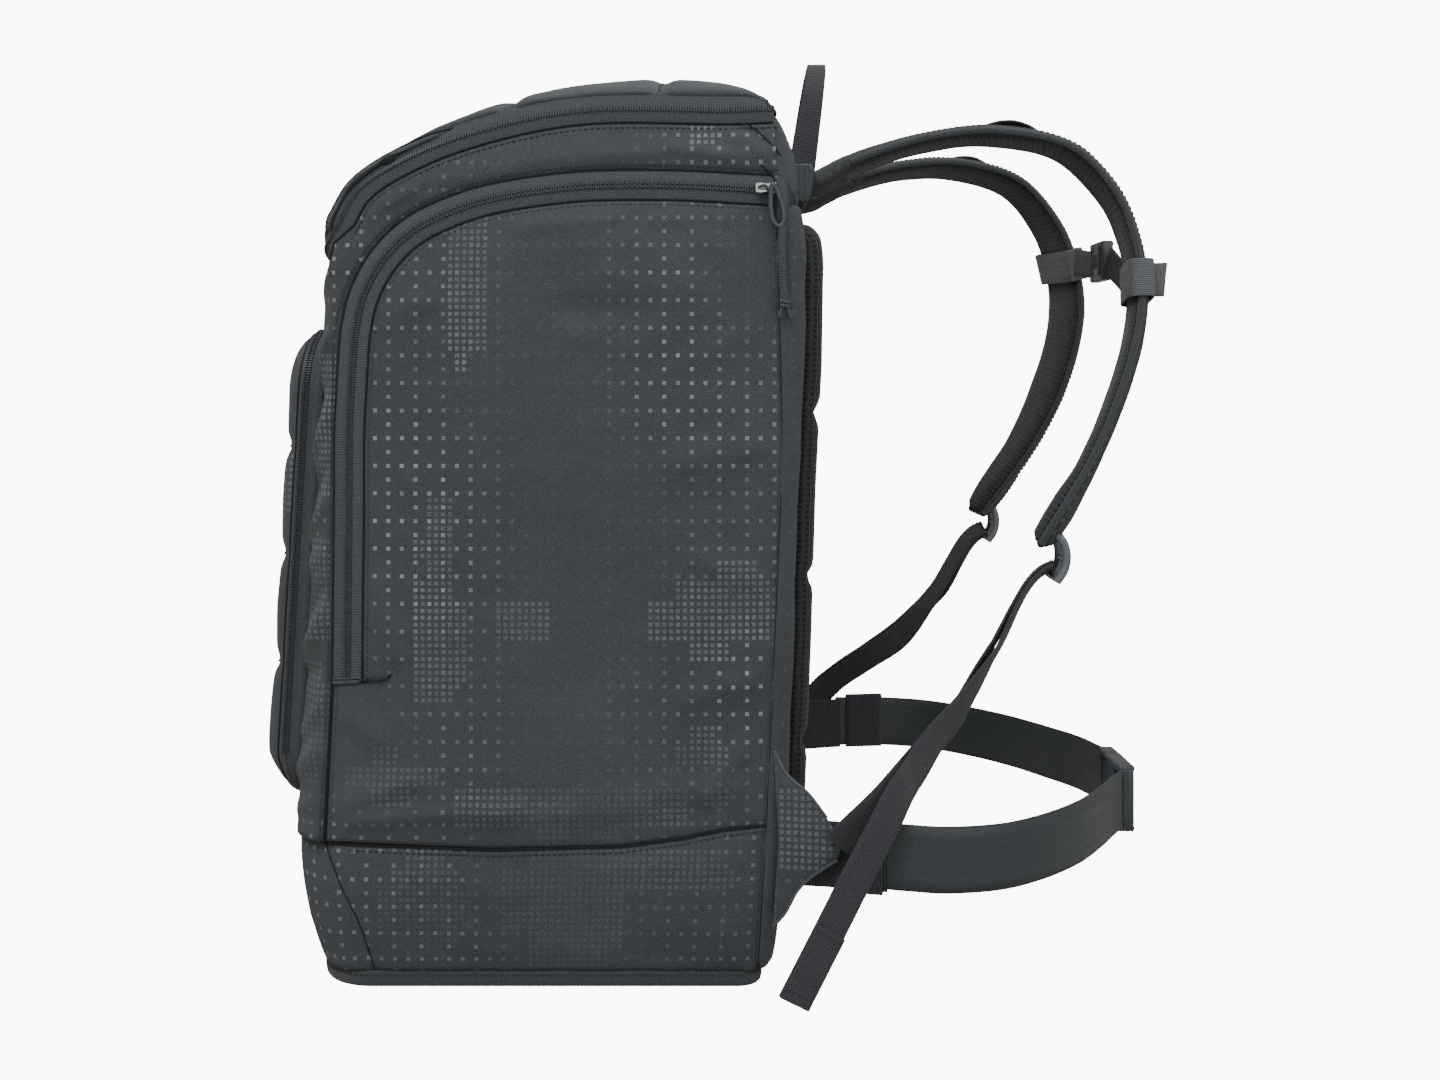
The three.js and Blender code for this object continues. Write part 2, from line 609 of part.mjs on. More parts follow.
// Side-release buckles: a socket with a mouth towards +Y and a plug with two prongs
function buildBuckle(name, centre, [tall, thick, long], lean) {
  const mouth = [tall - 8, thick - 5, long * 0.66];
  const socket = block(thick, long, tall, 0, -long / 2)
    .subtract(block(mouth[1], mouth[2], mouth[0], 0, -mouth[2] / 2 + 0.01))
    .subtract(block(thick + 2, long * 0.1, tall - 12, 0, -long * 0.82));
  const prong = long * 0.45;
  const plug = block(thick - 1, long * 0.42, tall, 0, long * 0.21 + 0.6)
    .subtract(block(thick + 2, long * 0.1, tall - 12, 0, long * 0.27))
    .add(block(thick - 8, prong, 5, 0, 0.7 - prong / 2, mouth[0] / 2 - 4.5))
    .add(block(thick - 8, prong, 5, 0, 0.7 - prong / 2, 4.5 - mouth[0] / 2));
  for (const [part, solid] of [["socket", socket], ["plug", plug]]) {
    const geometry = fromSolid(solid).rotateX(lean).translate(...centre);
    add(`${name}_${part}`, geometry, "plastic");
  }
}

// Shoulder straps: a padded strap, an adjuster webbing to the wing, and its loose tail
const PAD_PATH = [
  [177, 54, 507], [193, 58, 515], [238, 68, 528], [284, 80, 530.5], [329, 90, 518],
  [357, 96, 487], [368, 98, 460], [373, 100, 430], [370, 102, 398], [357, 106, 356],
  [341, 112, 317], [328, 116, 291], [320, 118.5, 276],
];
const ADJUSTER_PATH = [
  [303.5, 121.5, 246], [295, 122, 239], [285, 122, 226], [273.5, 125, 204], [264, 130, 189],
  [246, 145, 161], [223, 164, 140], [199, 184.6, 119], [182.5, 184, 103.5],
];
const TAIL_RIGHT = [
  [310, 122, 244], [302, 122, 239], [292, 122, 228], [280, 126.5, 204], [268, 136, 193.5],
  [247, 152, 165.5], [232, 164, 151], [218.5, 176, 135], [207.7, 187, 123], [198, 194, 107],
  [179.4, 202, 75], [166, 207, 51], [144, 213, 11],
];
const TAIL_LEFT = [
  [310, 122, 244], [302, 122, 239], [292, 122, 228], [280, 126.5, 204], [267, 136, 190],
  [248, 152, 163], [226, 170, 142], [204, 187, 123], [186, 194, 106], [172, 199, 82],
  [164, 202, 56], [160, 204, 24],
];

const LOOP_PATH = [[280, 79, 539.2], [286, 80, 541.2], [294, 82, 542], [303, 84, 541.2], [310, 86, 538.2]];

function pathOf(points, side) {
  return points.map(([x, y, z]) => [x, side * y, z]);
}

function buildShoulder(name, side) {
  const pad = smooth3D(pathOf(PAD_PATH, side), 40);
  const widths = [[0, 28], [0.1, 46], [0.2, PAD_WIDTH], [0.75, PAD_WIDTH], [0.96, 34], [1, 24]];
  const padWidth = (t) => valueAt(widths, t);
  const padTwist = (t) => -side * valueAt([[0, 0], [0.4, 4], [0.6, 10], [1, 12]], t);
  add(`shoulder_pad_${name}`, ribbon(pad, padTwist, padWidth, PAD_THICK), "mesh");
  const web = () => WEBBING_WIDTH;
  const webTwist = (t, point) => -side * valueAt([[200, 78], [246, 58], [285, 12]], point.x);
  const adjuster = smooth3D(pathOf(ADJUSTER_PATH, side), 24);
  add(`adjuster_webbing_${name}`, ribbon(adjuster, webTwist, web, WEBBING_THICK), "webbing");
  const tail = smooth3D(pathOf(side < 0 ? TAIL_RIGHT : TAIL_LEFT, side), 34);
  add(`webbing_tail_${name}`, ribbon(tail, webTwist, web, WEBBING_THICK), "webbing");
  const loop = smooth3D(pathOf(LOOP_PATH, side), 8);
  add(`strap_loop_${name}`, ribbon(loop, padTwist, web, 1.6), "webbing");
  buildLadderLock(name, side);
}

// Ladder lock: a plastic frame with two slots, hung from the strap's end
function buildLadderLock(name, side) {
  const [wide, long, thick] = [26, 24, 4.5];
  const lock = block(wide, thick, long)
    .subtract(block(wide - 7, thick + 2, 3.4, 0, 0, 5.5))
    .subtract(block(wide - 7, thick + 2, 3.4, 0, 0, -3.5));
  const geometry = fromSolid(lock)
    .rotateZ(Math.PI / 2)
    .rotateY(THREE.MathUtils.degToRad(24))
    .rotateZ(side * THREE.MathUtils.degToRad(10));
  add(`ladder_lock_${name}`, geometry.translate(312.5, side * 121, 258.8), "plastic");
}

// Sternum strap: a band round each pad, and webbing to the buckle
const STERNUM = {
  right: { band: [372.8, 100, 432], along: [0.4, -2, -30], buckleEnd: 27 },
  left: { band: [368.6, 98.3, 458], along: [7, 2, -29], buckleEnd: 15 },
  buckle: [373, 0, 453],
};

function buildSternum(name, side) {
  const { band, along, buckleEnd } = STERNUM[name];
  const [x, y, z] = band;
  const wide = vec(-side * 0.17, 1, 0);
  const inner = [PAD_WIDTH + 4, PAD_THICK + 4.4];
  const outer = [PAD_WIDTH + 7, PAD_THICK + 7];
  const ring = sleeve(vec(x, side * y, z), vec(...along), wide, STERNUM_HEIGHT, inner, outer);
  add(`sternum_band_${name}`, ring, "webbing");
  const [bx, , bz] = STERNUM.buckle;
  const path = [[x + 3, y - 36.5, z + 1], [bx + 3, 45, (z + bz) / 2], [bx, buckleEnd, bz]];
  const strap = smooth3D(pathOf(path, side), 6);
  add(`sternum_strap_${name}`, standingRibbon(strap, 20, 1.6), "webbing");
}

function standingRibbon(path, height, thickness) {
  const last = path.length - 1;
  const [outer, inner] = [[], []];
  path.forEach((point, i) => {
    const tangent = path[Math.min(i + 1, last)].clone().sub(path[Math.max(i - 1, 0)]).normalize();
    const normal = vec(-tangent.y, tangent.x, 0).normalize().multiplyScalar(thickness / 2);
    outer.push([-0.5, 0.5].map((h) => point.clone().add(normal).setZ(point.z + h * height)));
    inner.push([-0.5, 0.5].map((h) => point.clone().sub(normal).setZ(point.z + h * height)));
  });
  return wallBetween(outer, inner);
}

// Yoke and haul loop
function buildYoke() {
  const outline = [[151.4, 486], [159, 486], [163, 496], [163, 511], [145.5, 511], [149.5, 500]];
  const plate = sidePlate(outline, -86, 172);
  add("strap_yoke", plate, "webbing");
  const half = [[-35, 514.6], [-36, 540], [-33, 570], [-22, 588]];
  const mirrored = [...half].reverse().map(([y, z]) => [-y, z]);
  const rise = [...half, [0, 592], ...mirrored];
  const curve = smooth3D(rise.map(([y, z]) => [159 + (z - 512) * 0.14, y, z]), 24);
  const last = curve.length - 1;
  const [outer, inner] = [[], []];
  curve.forEach((point, i) => {
    const tangent = curve[Math.min(i + 1, last)].clone().sub(curve[Math.max(i - 1, 0)]).normalize();
    const normal = vec(0, tangent.z, -tangent.y).normalize();
    const reach = valueAt([[0, 8.5], [0.42, 6.5], [0.58, 6.5], [1, 8.5]], i / last);
    for (const [edge, out] of [[outer, 1.1], [inner, -1.1]]) {
      const middle = point.clone().addScaledVector(normal, out);
      edge.push([-reach, reach].map((x) => middle.clone().add(vec(x, 0, 0))));
    }
  });
  add("haul_loop", wallBetween(outer, inner), "webbing");
}

// Zip sliders and their pulls. Each is made with its zip along X and its pull hanging down.
function sliderGeometry() {
  const body = block(13, 4.4, 7.4).subtract(block(3, 6, 2.4, 3.4));
  return fromSolid(body);
}

function pullGeometry(length) {
  const outer = block(9, 2.4, length, 0, 0, -length / 2 + 4);
  return fromSolid(outer.subtract(block(4.4, 4, length - 12, 0, 0, -length / 2 + 4)));
}

const PULL_LENGTH = 24;

function buildDoorSlider(name, side) {
  const y = side * (HALF_WIDTH + GAP + 2.4);
  add(`door_slider_${name}`, sliderGeometry().translate(129.5, y, 484.6), "metal");
  const pull = pullGeometry(PULL_LENGTH).rotateY(-0.15);
  add(`door_pull_${name}`, pull.translate(135.5, side * (HALF_WIDTH + 7.2), 482), "plastic");
  const route = smooth3D(pathOf(CORD_ROUTE, side), 18);
  const section = new THREE.Shape();
  section.absarc(0, 0, 2, 0, Math.PI * 2);
  const extrudePath = new THREE.CatmullRomCurve3(route);
  const tube = new THREE.ExtrudeGeometry(section, { steps: 18, extrudePath, curveSegments: 4 });
  add(`door_pull_cord_${name}`, tube, "webbing");
}

const CORD_ROUTE = [
  [139.6, 177.6, 461.2], [139.2, 177.4, 452], [139.4, 176.8, 440],
  [140, 176, 428], [140.8, 175.4, 416],
];

function buildFrontSliders() {
  const lidSlider = sliderGeometry().rotateZ(Math.PI / 2).translate(-142.2, 0, 443.4);
  add("lid_slider", lidSlider, "metal");
  add("lid_pull", pullGeometry(PULL_LENGTH).rotateZ(Math.PI / 2).translate(-147, 0, 441), "plastic");
  const pocketSlider = sliderGeometry().rotateY(Math.PI / 2).translate(-169, 149, 150);
  add("pocket_slider", pocketSlider, "metal");
  add("pocket_pull", pullGeometry(PULL_LENGTH).translate(-169, 154, 144), "plastic");
}

for (const [name, side] of SIDES) {
  buildSide(name, side);
  buildDivider(name, side);
  buildWing(name, side);
  buildBelt(name, side);
  buildShoulder(name, side);
  buildSternum(name, side);
  buildDoorSlider(name, side);
}
buildBase();
buildTub();
buildFrontPanel();
buildBack();
buildBackPad();
buildLid();
buildLidZip();
buildPocket();
buildYoke();
buildFrontSliders();
buildBuckle("hip_buckle", [382.5, 0, 80], [46, 12.5, 40], 0);
buildBuckle("sternum_buckle", [373, 0, 453], [28, 9.6, 26], 0);

export default bag;
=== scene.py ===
"""Looks for the ski boot bag: fabric, webbing, zips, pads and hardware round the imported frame."""

import math

import bmesh
import bpy
import numpy as np
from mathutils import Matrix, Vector, noise


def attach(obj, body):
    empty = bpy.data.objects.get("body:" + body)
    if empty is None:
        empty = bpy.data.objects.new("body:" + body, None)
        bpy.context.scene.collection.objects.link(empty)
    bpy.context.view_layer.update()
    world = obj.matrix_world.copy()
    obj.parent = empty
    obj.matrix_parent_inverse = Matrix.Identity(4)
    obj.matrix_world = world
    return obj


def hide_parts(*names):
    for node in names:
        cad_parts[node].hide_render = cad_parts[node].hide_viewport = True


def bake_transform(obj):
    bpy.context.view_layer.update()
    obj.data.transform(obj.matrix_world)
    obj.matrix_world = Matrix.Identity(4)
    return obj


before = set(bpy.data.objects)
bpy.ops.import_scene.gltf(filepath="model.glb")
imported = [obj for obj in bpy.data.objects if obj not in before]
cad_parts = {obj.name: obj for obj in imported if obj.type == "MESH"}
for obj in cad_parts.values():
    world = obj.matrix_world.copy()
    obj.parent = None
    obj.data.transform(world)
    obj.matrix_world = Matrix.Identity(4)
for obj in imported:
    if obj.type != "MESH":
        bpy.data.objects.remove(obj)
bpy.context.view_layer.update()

MM = 0.001
SIDES = (("right", -1), ("left", 1))
FORE_AFT, ACROSS, UP = np.eye(3)

# ---------------------------------------------------------------- camera and lights


def add_camera():
    data = bpy.data.cameras.new("camera")
    data.sensor_width = 36
    data.lens = 37.6
    data.shift_y = -0.111
    data.clip_start, data.clip_end = 0.05, 30
    camera = bpy.data.objects.new("camera", data)
    camera.location = (0.102, -1.077, 0.369)
    camera.rotation_euler = (math.radians(90), 0, 0)
    bpy.context.scene.collection.objects.link(camera)
    bpy.context.scene.camera = camera


def add_light(name, place, target, size, power):
    data = bpy.data.lights.new(name, "AREA")
    data.shape, data.size, data.energy = "SQUARE", size, power
    light = bpy.data.objects.new(name, data)
    light.location = place
    light.rotation_euler = (Vector(target) - Vector(place)).to_track_quat("-Z", "Y").to_euler()
    bpy.context.scene.collection.objects.link(light)


# ---------------------------------------------------------------- node materials


class Nodes:
    """Short names for making a material's nodes."""

    def __init__(self, name):
        self.material = bpy.data.materials.new(name)
        self.material.use_nodes = True
        self.tree = self.material.node_tree
        self.shader = self.tree.nodes["Principled BSDF"]

    def put(self, value, socket):
        if isinstance(value, bpy.types.NodeSocket):
            self.tree.links.new(value, socket)
        elif value is not None:
            socket.default_value = value

    def new(self, kind, settings=None, **inputs):
        node = self.tree.nodes.new("ShaderNode" + kind)
        for key, value in (settings or {}).items():
            setattr(node, key, value)
        for key, value in inputs.items():
            self.put(value, node.inputs[key.replace("_", " ")])
        return node

    def math(self, operation, *values):
        node = self.new("Math", {"operation": operation})
        for value, socket in zip(values, node.inputs):
            self.put(value, socket)
        return node.outputs[0]

    def add(self, a, b):
        return self.math("ADD", a, b)

    def mul(self, a, b):
        return self.math("MULTIPLY", a, b)

    def vector_math(self, operation, a, b=None):
        node = self.new("VectorMath", {"operation": operation})
        self.put(a, node.inputs[0])
        self.put(b, node.inputs[1])
        return node.outputs["Value" if operation == "LENGTH" else "Vector"]

    def mix(self, factor, a, b):
        node = self.new("Mix", {"data_type": "RGBA"})
        self.put(factor, node.inputs["Factor"])
        self.put(a, node.inputs[6])
        self.put(b, node.inputs[7])
        return node.outputs[2]

    def ramp(self, value, low, high, out_low=0.0, out_high=1.0):
        return self.new("MapRange", None, Value=value, From_Min=low, From_Max=high,
                        To_Min=out_low, To_Max=out_high).outputs[0]

    def uv(self):
        split = self.new("SeparateXYZ", None, Vector=self.new("UVMap").outputs[0])
        return split.outputs[0], split.outputs[1]

    def vector(self, x, y, z=0.0):
        return self.new("CombineXYZ", None, X=x, Y=y, Z=z).outputs[0]

    def noise(self, vector, scale, detail=2.0):
        return self.new("TexNoise", None, Vector=vector, Scale=scale, Detail=detail).outputs[0]

    def place(self):
        return self.new("TexCoord").outputs["Object"]

    def bump(self, height, distance, strength=1.0):
        return self.new("Bump", None, Height=height, Distance=distance, Strength=strength).outputs[0]

    def finish(self, color, roughness, normal=None, **fixed):
        self.put(color, self.shader.inputs["Base Color"])
        self.put(roughness, self.shader.inputs["Roughness"])
        if normal is not None:
            self.put(normal, self.shader.inputs["Normal"])
        for key, value in fixed.items():
            self.shader.inputs[key.replace("_", " ")].default_value = value
        return self.material


def rgb(r, g, b):
    return tuple(((v / 255 + 0.055) / 1.055) ** 2.4 if v > 10 else v / 3295 for v in (r, g, b)) + (1.0,)


def shade(color, factor):
    return tuple(c * factor for c in color[:3]) + (1.0,)


def twill(n, u, v, pitch):
    """Height of a twill weave: fine diagonal ribs broken up along their length."""
    rate = math.tau / pitch
    ribs = n.math("SINE", n.mul(n.add(u, v), rate))
    breaks = n.math("SINE", n.mul(n.add(u, n.mul(v, -1.6)), rate * 0.62))
    return n.add(n.mul(ribs, 0.5), n.mul(breaks, 0.28))


def printed_squares(n, u, v, cell, spots, cover):
    """Strength of a print of small squares: sparse rows, and full blocks at the spots and in the clouds."""
    column, row = n.math("DIVIDE", u, cell), n.math("DIVIDE", v, cell)
    i, j = n.math("FLOOR", column), n.math("FLOOR", row)
    near = [
        n.math("LESS_THAN", n.math("ABSOLUTE", n.add(n.math("SUBTRACT", a, b), -0.5)), 0.29)
        for a, b in ((column, i), (row, j))
    ]

    def every(value, step, start=0.0):
        return n.math("LESS_THAN", n.math("FLOORED_MODULO", n.add(value, start), step), 0.5)

    rows = n.math("MAXIMUM", n.mul(every(i, 2.0), every(j, 4.0)), n.mul(every(i, 4.0), every(j, 4.0, 2.0)))
    block = n.vector(n.mul(n.math("FLOOR", n.math("DIVIDE", i, 2.0)), 2 * cell),
                     n.mul(n.math("FLOOR", n.math("DIVIDE", j, 3.0)), 3 * cell), 0.4)
    cloud = n.noise(block, 15.0, 1.0)
    full = n.math("GREATER_THAN", cloud, 1 - cover)
    ragged = n.mul(n.add(cloud, -0.5), 1.5)
    for x, z, wide, tall in spots:
        away = n.vector_math("SUBTRACT", block, (x, z, 0.4))
        distance = n.vector_math("LENGTH", n.vector_math("MULTIPLY", away, (1 / wide, 1 / tall, 1.0)))
        full = n.math("MAXIMUM", full, n.math("LESS_THAN", n.add(distance, ragged), 1.0))
    gaps = n.mul(every(i, 7.0, 2.0), n.math("GREATER_THAN", v, 0.3))
    full = n.mul(full, n.math("SUBTRACT", 1.0, gaps))
    fade = n.ramp(n.noise(n.vector(u, v, 0.9), 8.0, 1.0), 0.36, 0.62, 0.04, 1.0)
    soft = n.ramp(n.noise(n.vector(u, v, 3.1), 13.0, 1.0), 0.3, 0.65, 0.25, 1.0)
    if spots:
        fade = n.mul(fade, n.ramp(n.math("ABSOLUTE", n.add(u, -0.005)), 0.02, 0.07, 0.08, 1.3))
        soft = n.mul(soft, n.ramp(v, 0.12, 0.36, 0.5, 1.0))
    grain = n.new("TexWhiteNoise", {"noise_dimensions": "2D"}, Vector=n.vector(i, j)).outputs[0]
    shown = n.math("MAXIMUM", n.mul(rows, fade), n.mul(n.mul(full, soft), 0.8))
    return n.mul(n.mul(*near), n.mul(shown, n.ramp(grain, 0.0, 1.0, 0.6, 1.0)))


def shell_fabric(name, color, printed, cover=0.42, spots=(), cell=0.00415):
    n = Nodes(name)
    u, v = n.uv()
    weave = twill(n, u, v, 0.0012)
    base = rgb(*color)
    dark = shade(base, 0.84)
    light = shade(base, 1.12)
    blotch = n.noise(n.place(), 9.0, 3.0)
    tone = n.mix(n.ramp(blotch, 0.3, 0.7), dark, light)
    fleck = n.noise(n.vector(u, v), 900.0, 1.0)
    tone = n.mix(n.ramp(fleck, 0.35, 0.75, 0.0, 0.3), tone, rgb(*(c * 1.45 for c in color)))
    ink = n.mul(printed_squares(n, u, v, cell, spots, cover), printed)
    tone = n.mix(ink, tone, rgb(172, 177, 180))
    rough = n.math("SUBTRACT", n.ramp(fleck, 0.2, 0.8, 0.74, 0.9), n.mul(ink, 0.35))
    crumple = n.noise(n.place(), 55.0, 3.0)
    inner = n.bump(crumple, 0.003, 0.6)
    normal = n.new("Bump", None, Height=n.add(weave, n.mul(ink, 0.9)), Distance=0.0003,
                   Strength=0.8, Normal=inner).outputs[0]
    return n.finish(tone, rough, normal, Sheen_Weight=0.12, Sheen_Roughness=0.5,
                    Specular_IOR_Level=0.42)


def webbing(name, color, pitch=0.0014, across=False, rough=0.72):
    n = Nodes(name)
    u, v = n.uv()
    along = u if across else v
    other = v if across else u
    ribs = n.math("SINE", n.mul(along, math.tau / pitch))
    threads = n.math("SINE", n.mul(other, math.tau / 0.0009))
    fleck = n.noise(n.vector(u, v), 1400.0, 1.0)
    base = rgb(*color)
    dark = shade(base, 0.66)
    light = shade(base, 1.22)
    # Painted shade and highlight: the colour follows the ribs, darker in their grooves and lighter on their
    # crests.
    tone = n.mix(n.ramp(ribs, -1.0, 1.0, 0.12, 1.0), dark, light)
    tone = n.mix(n.ramp(fleck, 0.4, 0.8, 0.0, 0.3), tone, dark)
    height = n.add(ribs, n.mul(threads, 0.35))
    return n.finish(tone, rough, n.bump(height, 0.00025, 0.9), Sheen_Weight=0.15,
                    Sheen_Roughness=0.45, Specular_IOR_Level=0.4)


def smooth_webbing(name, color):
    """Tightly woven belt webbing: a soft sheen, fine diagonal threads and darker edges."""
    n = Nodes(name)
    u, v = n.uv()
    edge = n.math("ABSOLUTE", n.add(n.math("FLOORED_MODULO", u, 0.0422), -0.0211))
    base = rgb(*color)
    dark = shade(base, 0.55)
    tone = n.mix(n.ramp(edge, 0.0165, 0.0200), base, dark)
    streak = n.noise(n.vector(n.mul(u, 260.0), n.mul(v, 9.0)), 1.0, 2.0)
    tone = n.mix(n.ramp(streak, 0.3, 0.7, 0.0, 0.35), tone, dark)
    return n.finish(tone, n.ramp(streak, 0.3, 0.7, 0.42, 0.56), n.bump(twill(n, u, v, 0.0011), 0.00012, 0.7),
                    Sheen_Weight=0.1, Specular_IOR_Level=0.5)


def mesh_fabric(name, color, cell=0.0034, stretch=1.7):
    """Spacer mesh: staggered long holes through a knitted face, the holes darkened with painted shade."""
    n = Nodes(name)
    u, v = n.uv()
    holes = n.new("TexVoronoi", {"feature": "DISTANCE_TO_EDGE"}, Randomness=0.18, Scale=1.0,
                  Vector=n.vector(n.mul(u, 1 / cell), n.mul(v, 1 / (cell * stretch)))).outputs[0]
    solid = n.ramp(holes, 0.10, 0.24, 1.0, 0.0)
    base = rgb(*color)
    dark = shade(base, 0.55)
    threads = n.noise(n.vector(u, v), 1500.0, 1.0)
    # Painted shade: the holes are coloured darker than the knitted face, for the shade inside them.
    tone = n.mix(solid, dark, n.mix(threads, base, rgb(*(c * 1.5 for c in color))))
    return n.finish(tone, 0.86, n.bump(n.add(solid, n.mul(threads, 0.2)), 0.0004, 0.8), Sheen_Weight=0.2,
                    Sheen_Roughness=0.5, Specular_IOR_Level=0.3)


def plain(name, color, rough, metal=0.0, grain=260.0, depth=0.00008, **fixed):
    """Moulded plastic, lacquered metal and thread: fine grain and slightly uneven gloss."""
    n = Nodes(name)
    speckle = n.noise(n.place(), grain * 8, 2.0)
    cloud = n.noise(n.place(), grain, 2.0)
    base = rgb(*color)
    dark = shade(base, 0.82)
    tone = n.mix(n.ramp(cloud, 0.3, 0.7), dark, base)
    n.shader.inputs["Metallic"].default_value = metal
    return n.finish(tone, n.ramp(cloud, 0.25, 0.75, rough - 0.06, rough + 0.06),
                    n.bump(speckle, depth, 0.5), **fixed)


SIDE_SPOTS = [
    (-0.052, 0.414, 0.021, 0.050), (-0.070, 0.268, 0.012, 0.022), (-0.071, 0.205, 0.020, 0.034),
    (-0.075, 0.172, 0.014, 0.012), (0.096, 0.216, 0.036, 0.020), (0.108, 0.240, 0.014, 0.010),
    (0.086, 0.140, 0.020, 0.014), (-0.098, 0.124, 0.027, 0.012), (0.020, 0.106, 0.078, 0.016),
    (0.000, 0.046, 0.034, 0.040), (-0.086, 0.044, 0.028, 0.036), (0.066, 0.066, 0.038, 0.014),
]
FABRIC_SIDE = shell_fabric("shell_fabric_side", (67, 71, 75), 0.58, 0.30, SIDE_SPOTS)
FABRIC_TUB = shell_fabric("shell_fabric_tub", (66, 70, 74), 0.38, 0.34, SIDE_SPOTS)
FRONT_SPOTS = [(-0.150, 0.330, 0.020, 0.055), (-0.152, 0.235, 0.020, 0.030), (-0.155, 0.160, 0.020, 0.036)]
FABRIC_FRONT = shell_fabric("shell_fabric_front", (67, 71, 74), 0.5, 0.34, FRONT_SPOTS)
FABRIC = shell_fabric("shell_fabric", (68, 72, 75), 0.40)
FABRIC_TOP = shell_fabric("shell_fabric_top", (74, 80, 82), 0.16, 0.36)
FABRIC_PLAIN = shell_fabric("shell_fabric_plain", (66, 70, 73), 0.10, 0.3)
LINING = plain("lining", (46, 49, 52), 0.75, grain=500.0, depth=0.0003)
WEBBING = webbing("webbing", (63, 65, 69))
WEBBING_WIDE = smooth_webbing("belt_webbing", (56, 61, 64))
BINDING = webbing("binding", (70, 74, 77), 0.0011, True)
PIPING = webbing("wing_piping", (92, 96, 99), 0.0011, True)
TAPE_MAT = webbing("zip_tape", (84, 88, 92), 0.0010, True)
COIL = plain("zip_coil", (72, 76, 80), 0.45, grain=400.0)
# Painted shadow: a near-black colour for thin tubes along seams and panel edges, standing in for the shade in
# their grooves.
SEAM_SHADOW = plain("seam_shadow", (26, 28, 31), 0.9)
THREAD = plain("thread", (58, 62, 65), 0.7)
MESH = mesh_fabric("spacer_mesh", (44, 46, 48), 0.0024, 1.5)
MESH_LIGHT = mesh_fabric("spacer_mesh_strap", (50, 52, 54), 0.0023, 1.7)
PLASTIC = plain("moulded_plastic", (68, 73, 78), 0.32, Coat_Weight=0.15, Coat_Roughness=0.3)
LOCK_PLASTIC = plain("lock_plastic", (104, 110, 115), 0.28, Coat_Weight=0.2, Coat_Roughness=0.25)
RUBBER = plain("soft_plastic", (72, 76, 79), 0.5)
METAL = plain("slider_metal", (196, 198, 200), 0.24, 1.0)
SHEET = plain("frame_sheet", (30, 31, 33), 0.5)
GARAGE = plain("zip_garage", (50, 54, 58), 0.4)
FABRIC_PAD = shell_fabric("strap_fabric", (60, 63, 64), 0.24, 0.34)
ELASTIC = webbing("elastic", (58, 60, 65), 0.0016)
BAND = webbing("elastic_band", (104, 107, 110), 0.0012, rough=0.4)
CORD = webbing("pull_cord", (76, 80, 83), 0.0012)

# ---------------------------------------------------------------- lines and meshes, in millimetres


def at(table, where):
    """The value at a place, from rows of places and values."""
    table = np.array(table, float)
    return np.interp(where, table[:, 0], table[:, 1])


def unit(v):
    return v / np.maximum(np.linalg.norm(v, axis=-1, keepdims=True), 1e-9)


def mirrored(points, side):
    return np.array(points, float) * (1, side, 1)


def run_along(line):
    """The distance from the start of a line to each of its points."""
    return np.concatenate([[0], np.cumsum(np.linalg.norm(np.diff(line, axis=0), axis=1))])


def spaced(line, step=3.0, count=None):
    """Evenly spaced points along a line of straight parts."""
    line = np.array(line, float)
    run = run_along(line)
    wanted = np.linspace(0, run[-1], count or max(int(round(run[-1] / step)) + 1, 3))
    return np.stack([np.interp(wanted, run, column) for column in line.T], 1)


def spline(points, step=3.0, count=None):
    """Evenly spaced points along a smooth line through the given ones."""
    p = np.array(points, float)
    ends = np.vstack([2 * p[0] - p[1], p, 2 * p[-1] - p[-2]])
    dense = []
    for i in range(len(p) - 1):
        p0, p1, p2, p3 = ends[i : i + 4]
        gaps = [max(np.linalg.norm(b - a), 1e-6) ** 0.5 for a, b in ((p0, p1), (p1, p2), (p2, p3))]
        k0, k1, k2, k3 = np.cumsum([0] + gaps)
        t = np.linspace(k1, k2, 24, endpoint=False)[:, None]

        def lerp(a, b, start, end):
            return a * (end - t) / (end - start) + b * (t - start) / (end - start)

        a1, a2, a3 = lerp(p0, p1, k0, k1), lerp(p1, p2, k1, k2), lerp(p2, p3, k2, k3)
        dense.append(lerp(lerp(a1, a2, k0, k2), lerp(a2, a3, k1, k3), k1, k2))
    return spaced(np.vstack(dense + [p[-1:]]), step, count)


def beside(line, distance):
    """A plane line moved to its left."""
    t = unit(np.gradient(line, axis=0))
    return line + np.stack([-t[:, 1], t[:, 0]], 1) * distance


def reach(points, line):
    """The distance of each point from a line."""
    best = np.full(points.shape[:-1], 1e9)
    for start, part in zip(line[:-1], np.diff(line, axis=0)):
        t = np.clip(((points - start) @ part) / max(part @ part, 1e-9), 0, 1)
        best = np.minimum(best, np.linalg.norm(points - start - t[..., None] * part, axis=-1))
    return best


def grid_normals(p):
    return unit(np.cross(np.gradient(p, axis=1), np.gradient(p, axis=0)))


def oriented(p, inside):
    """True where the faces of a grid look away from a place inside."""
    return float((grid_normals(p) * (p - np.array(inside, float))).sum()) > 0


def between(a, b, share):
    return a * (1 - share) + b * share


def evened(values, reach_each_way):
    """Values smoothed by the mean of their neighbours on both sides."""
    count = 2 * reach_each_way + 1
    return np.convolve(np.pad(values, reach_each_way, mode="edge"), np.ones(count) / count, "valid")


def ripple(points, size, seed, stretch=(1, 1, 1)):
    """Smooth noise from -1 to 1 at each point, which may be of the side view or of space."""
    if points.shape[-1] == 2:
        points = np.concatenate([points, 0 * points[..., :1]], -1)
    flat = points.reshape(-1, 3) * np.array(stretch) / size + seed
    return np.array([noise.noise(Vector(p)) for p in flat]).reshape(points.shape[:-1])


def puff(d, rise, soft, sink=0.0, seam=1.0):
    """Height of padded fabric at a distance from its seam, with a groove along the seam itself."""
    return rise * (1 - np.exp(-d / soft)) - sink * np.exp(-((d / seam) ** 2))


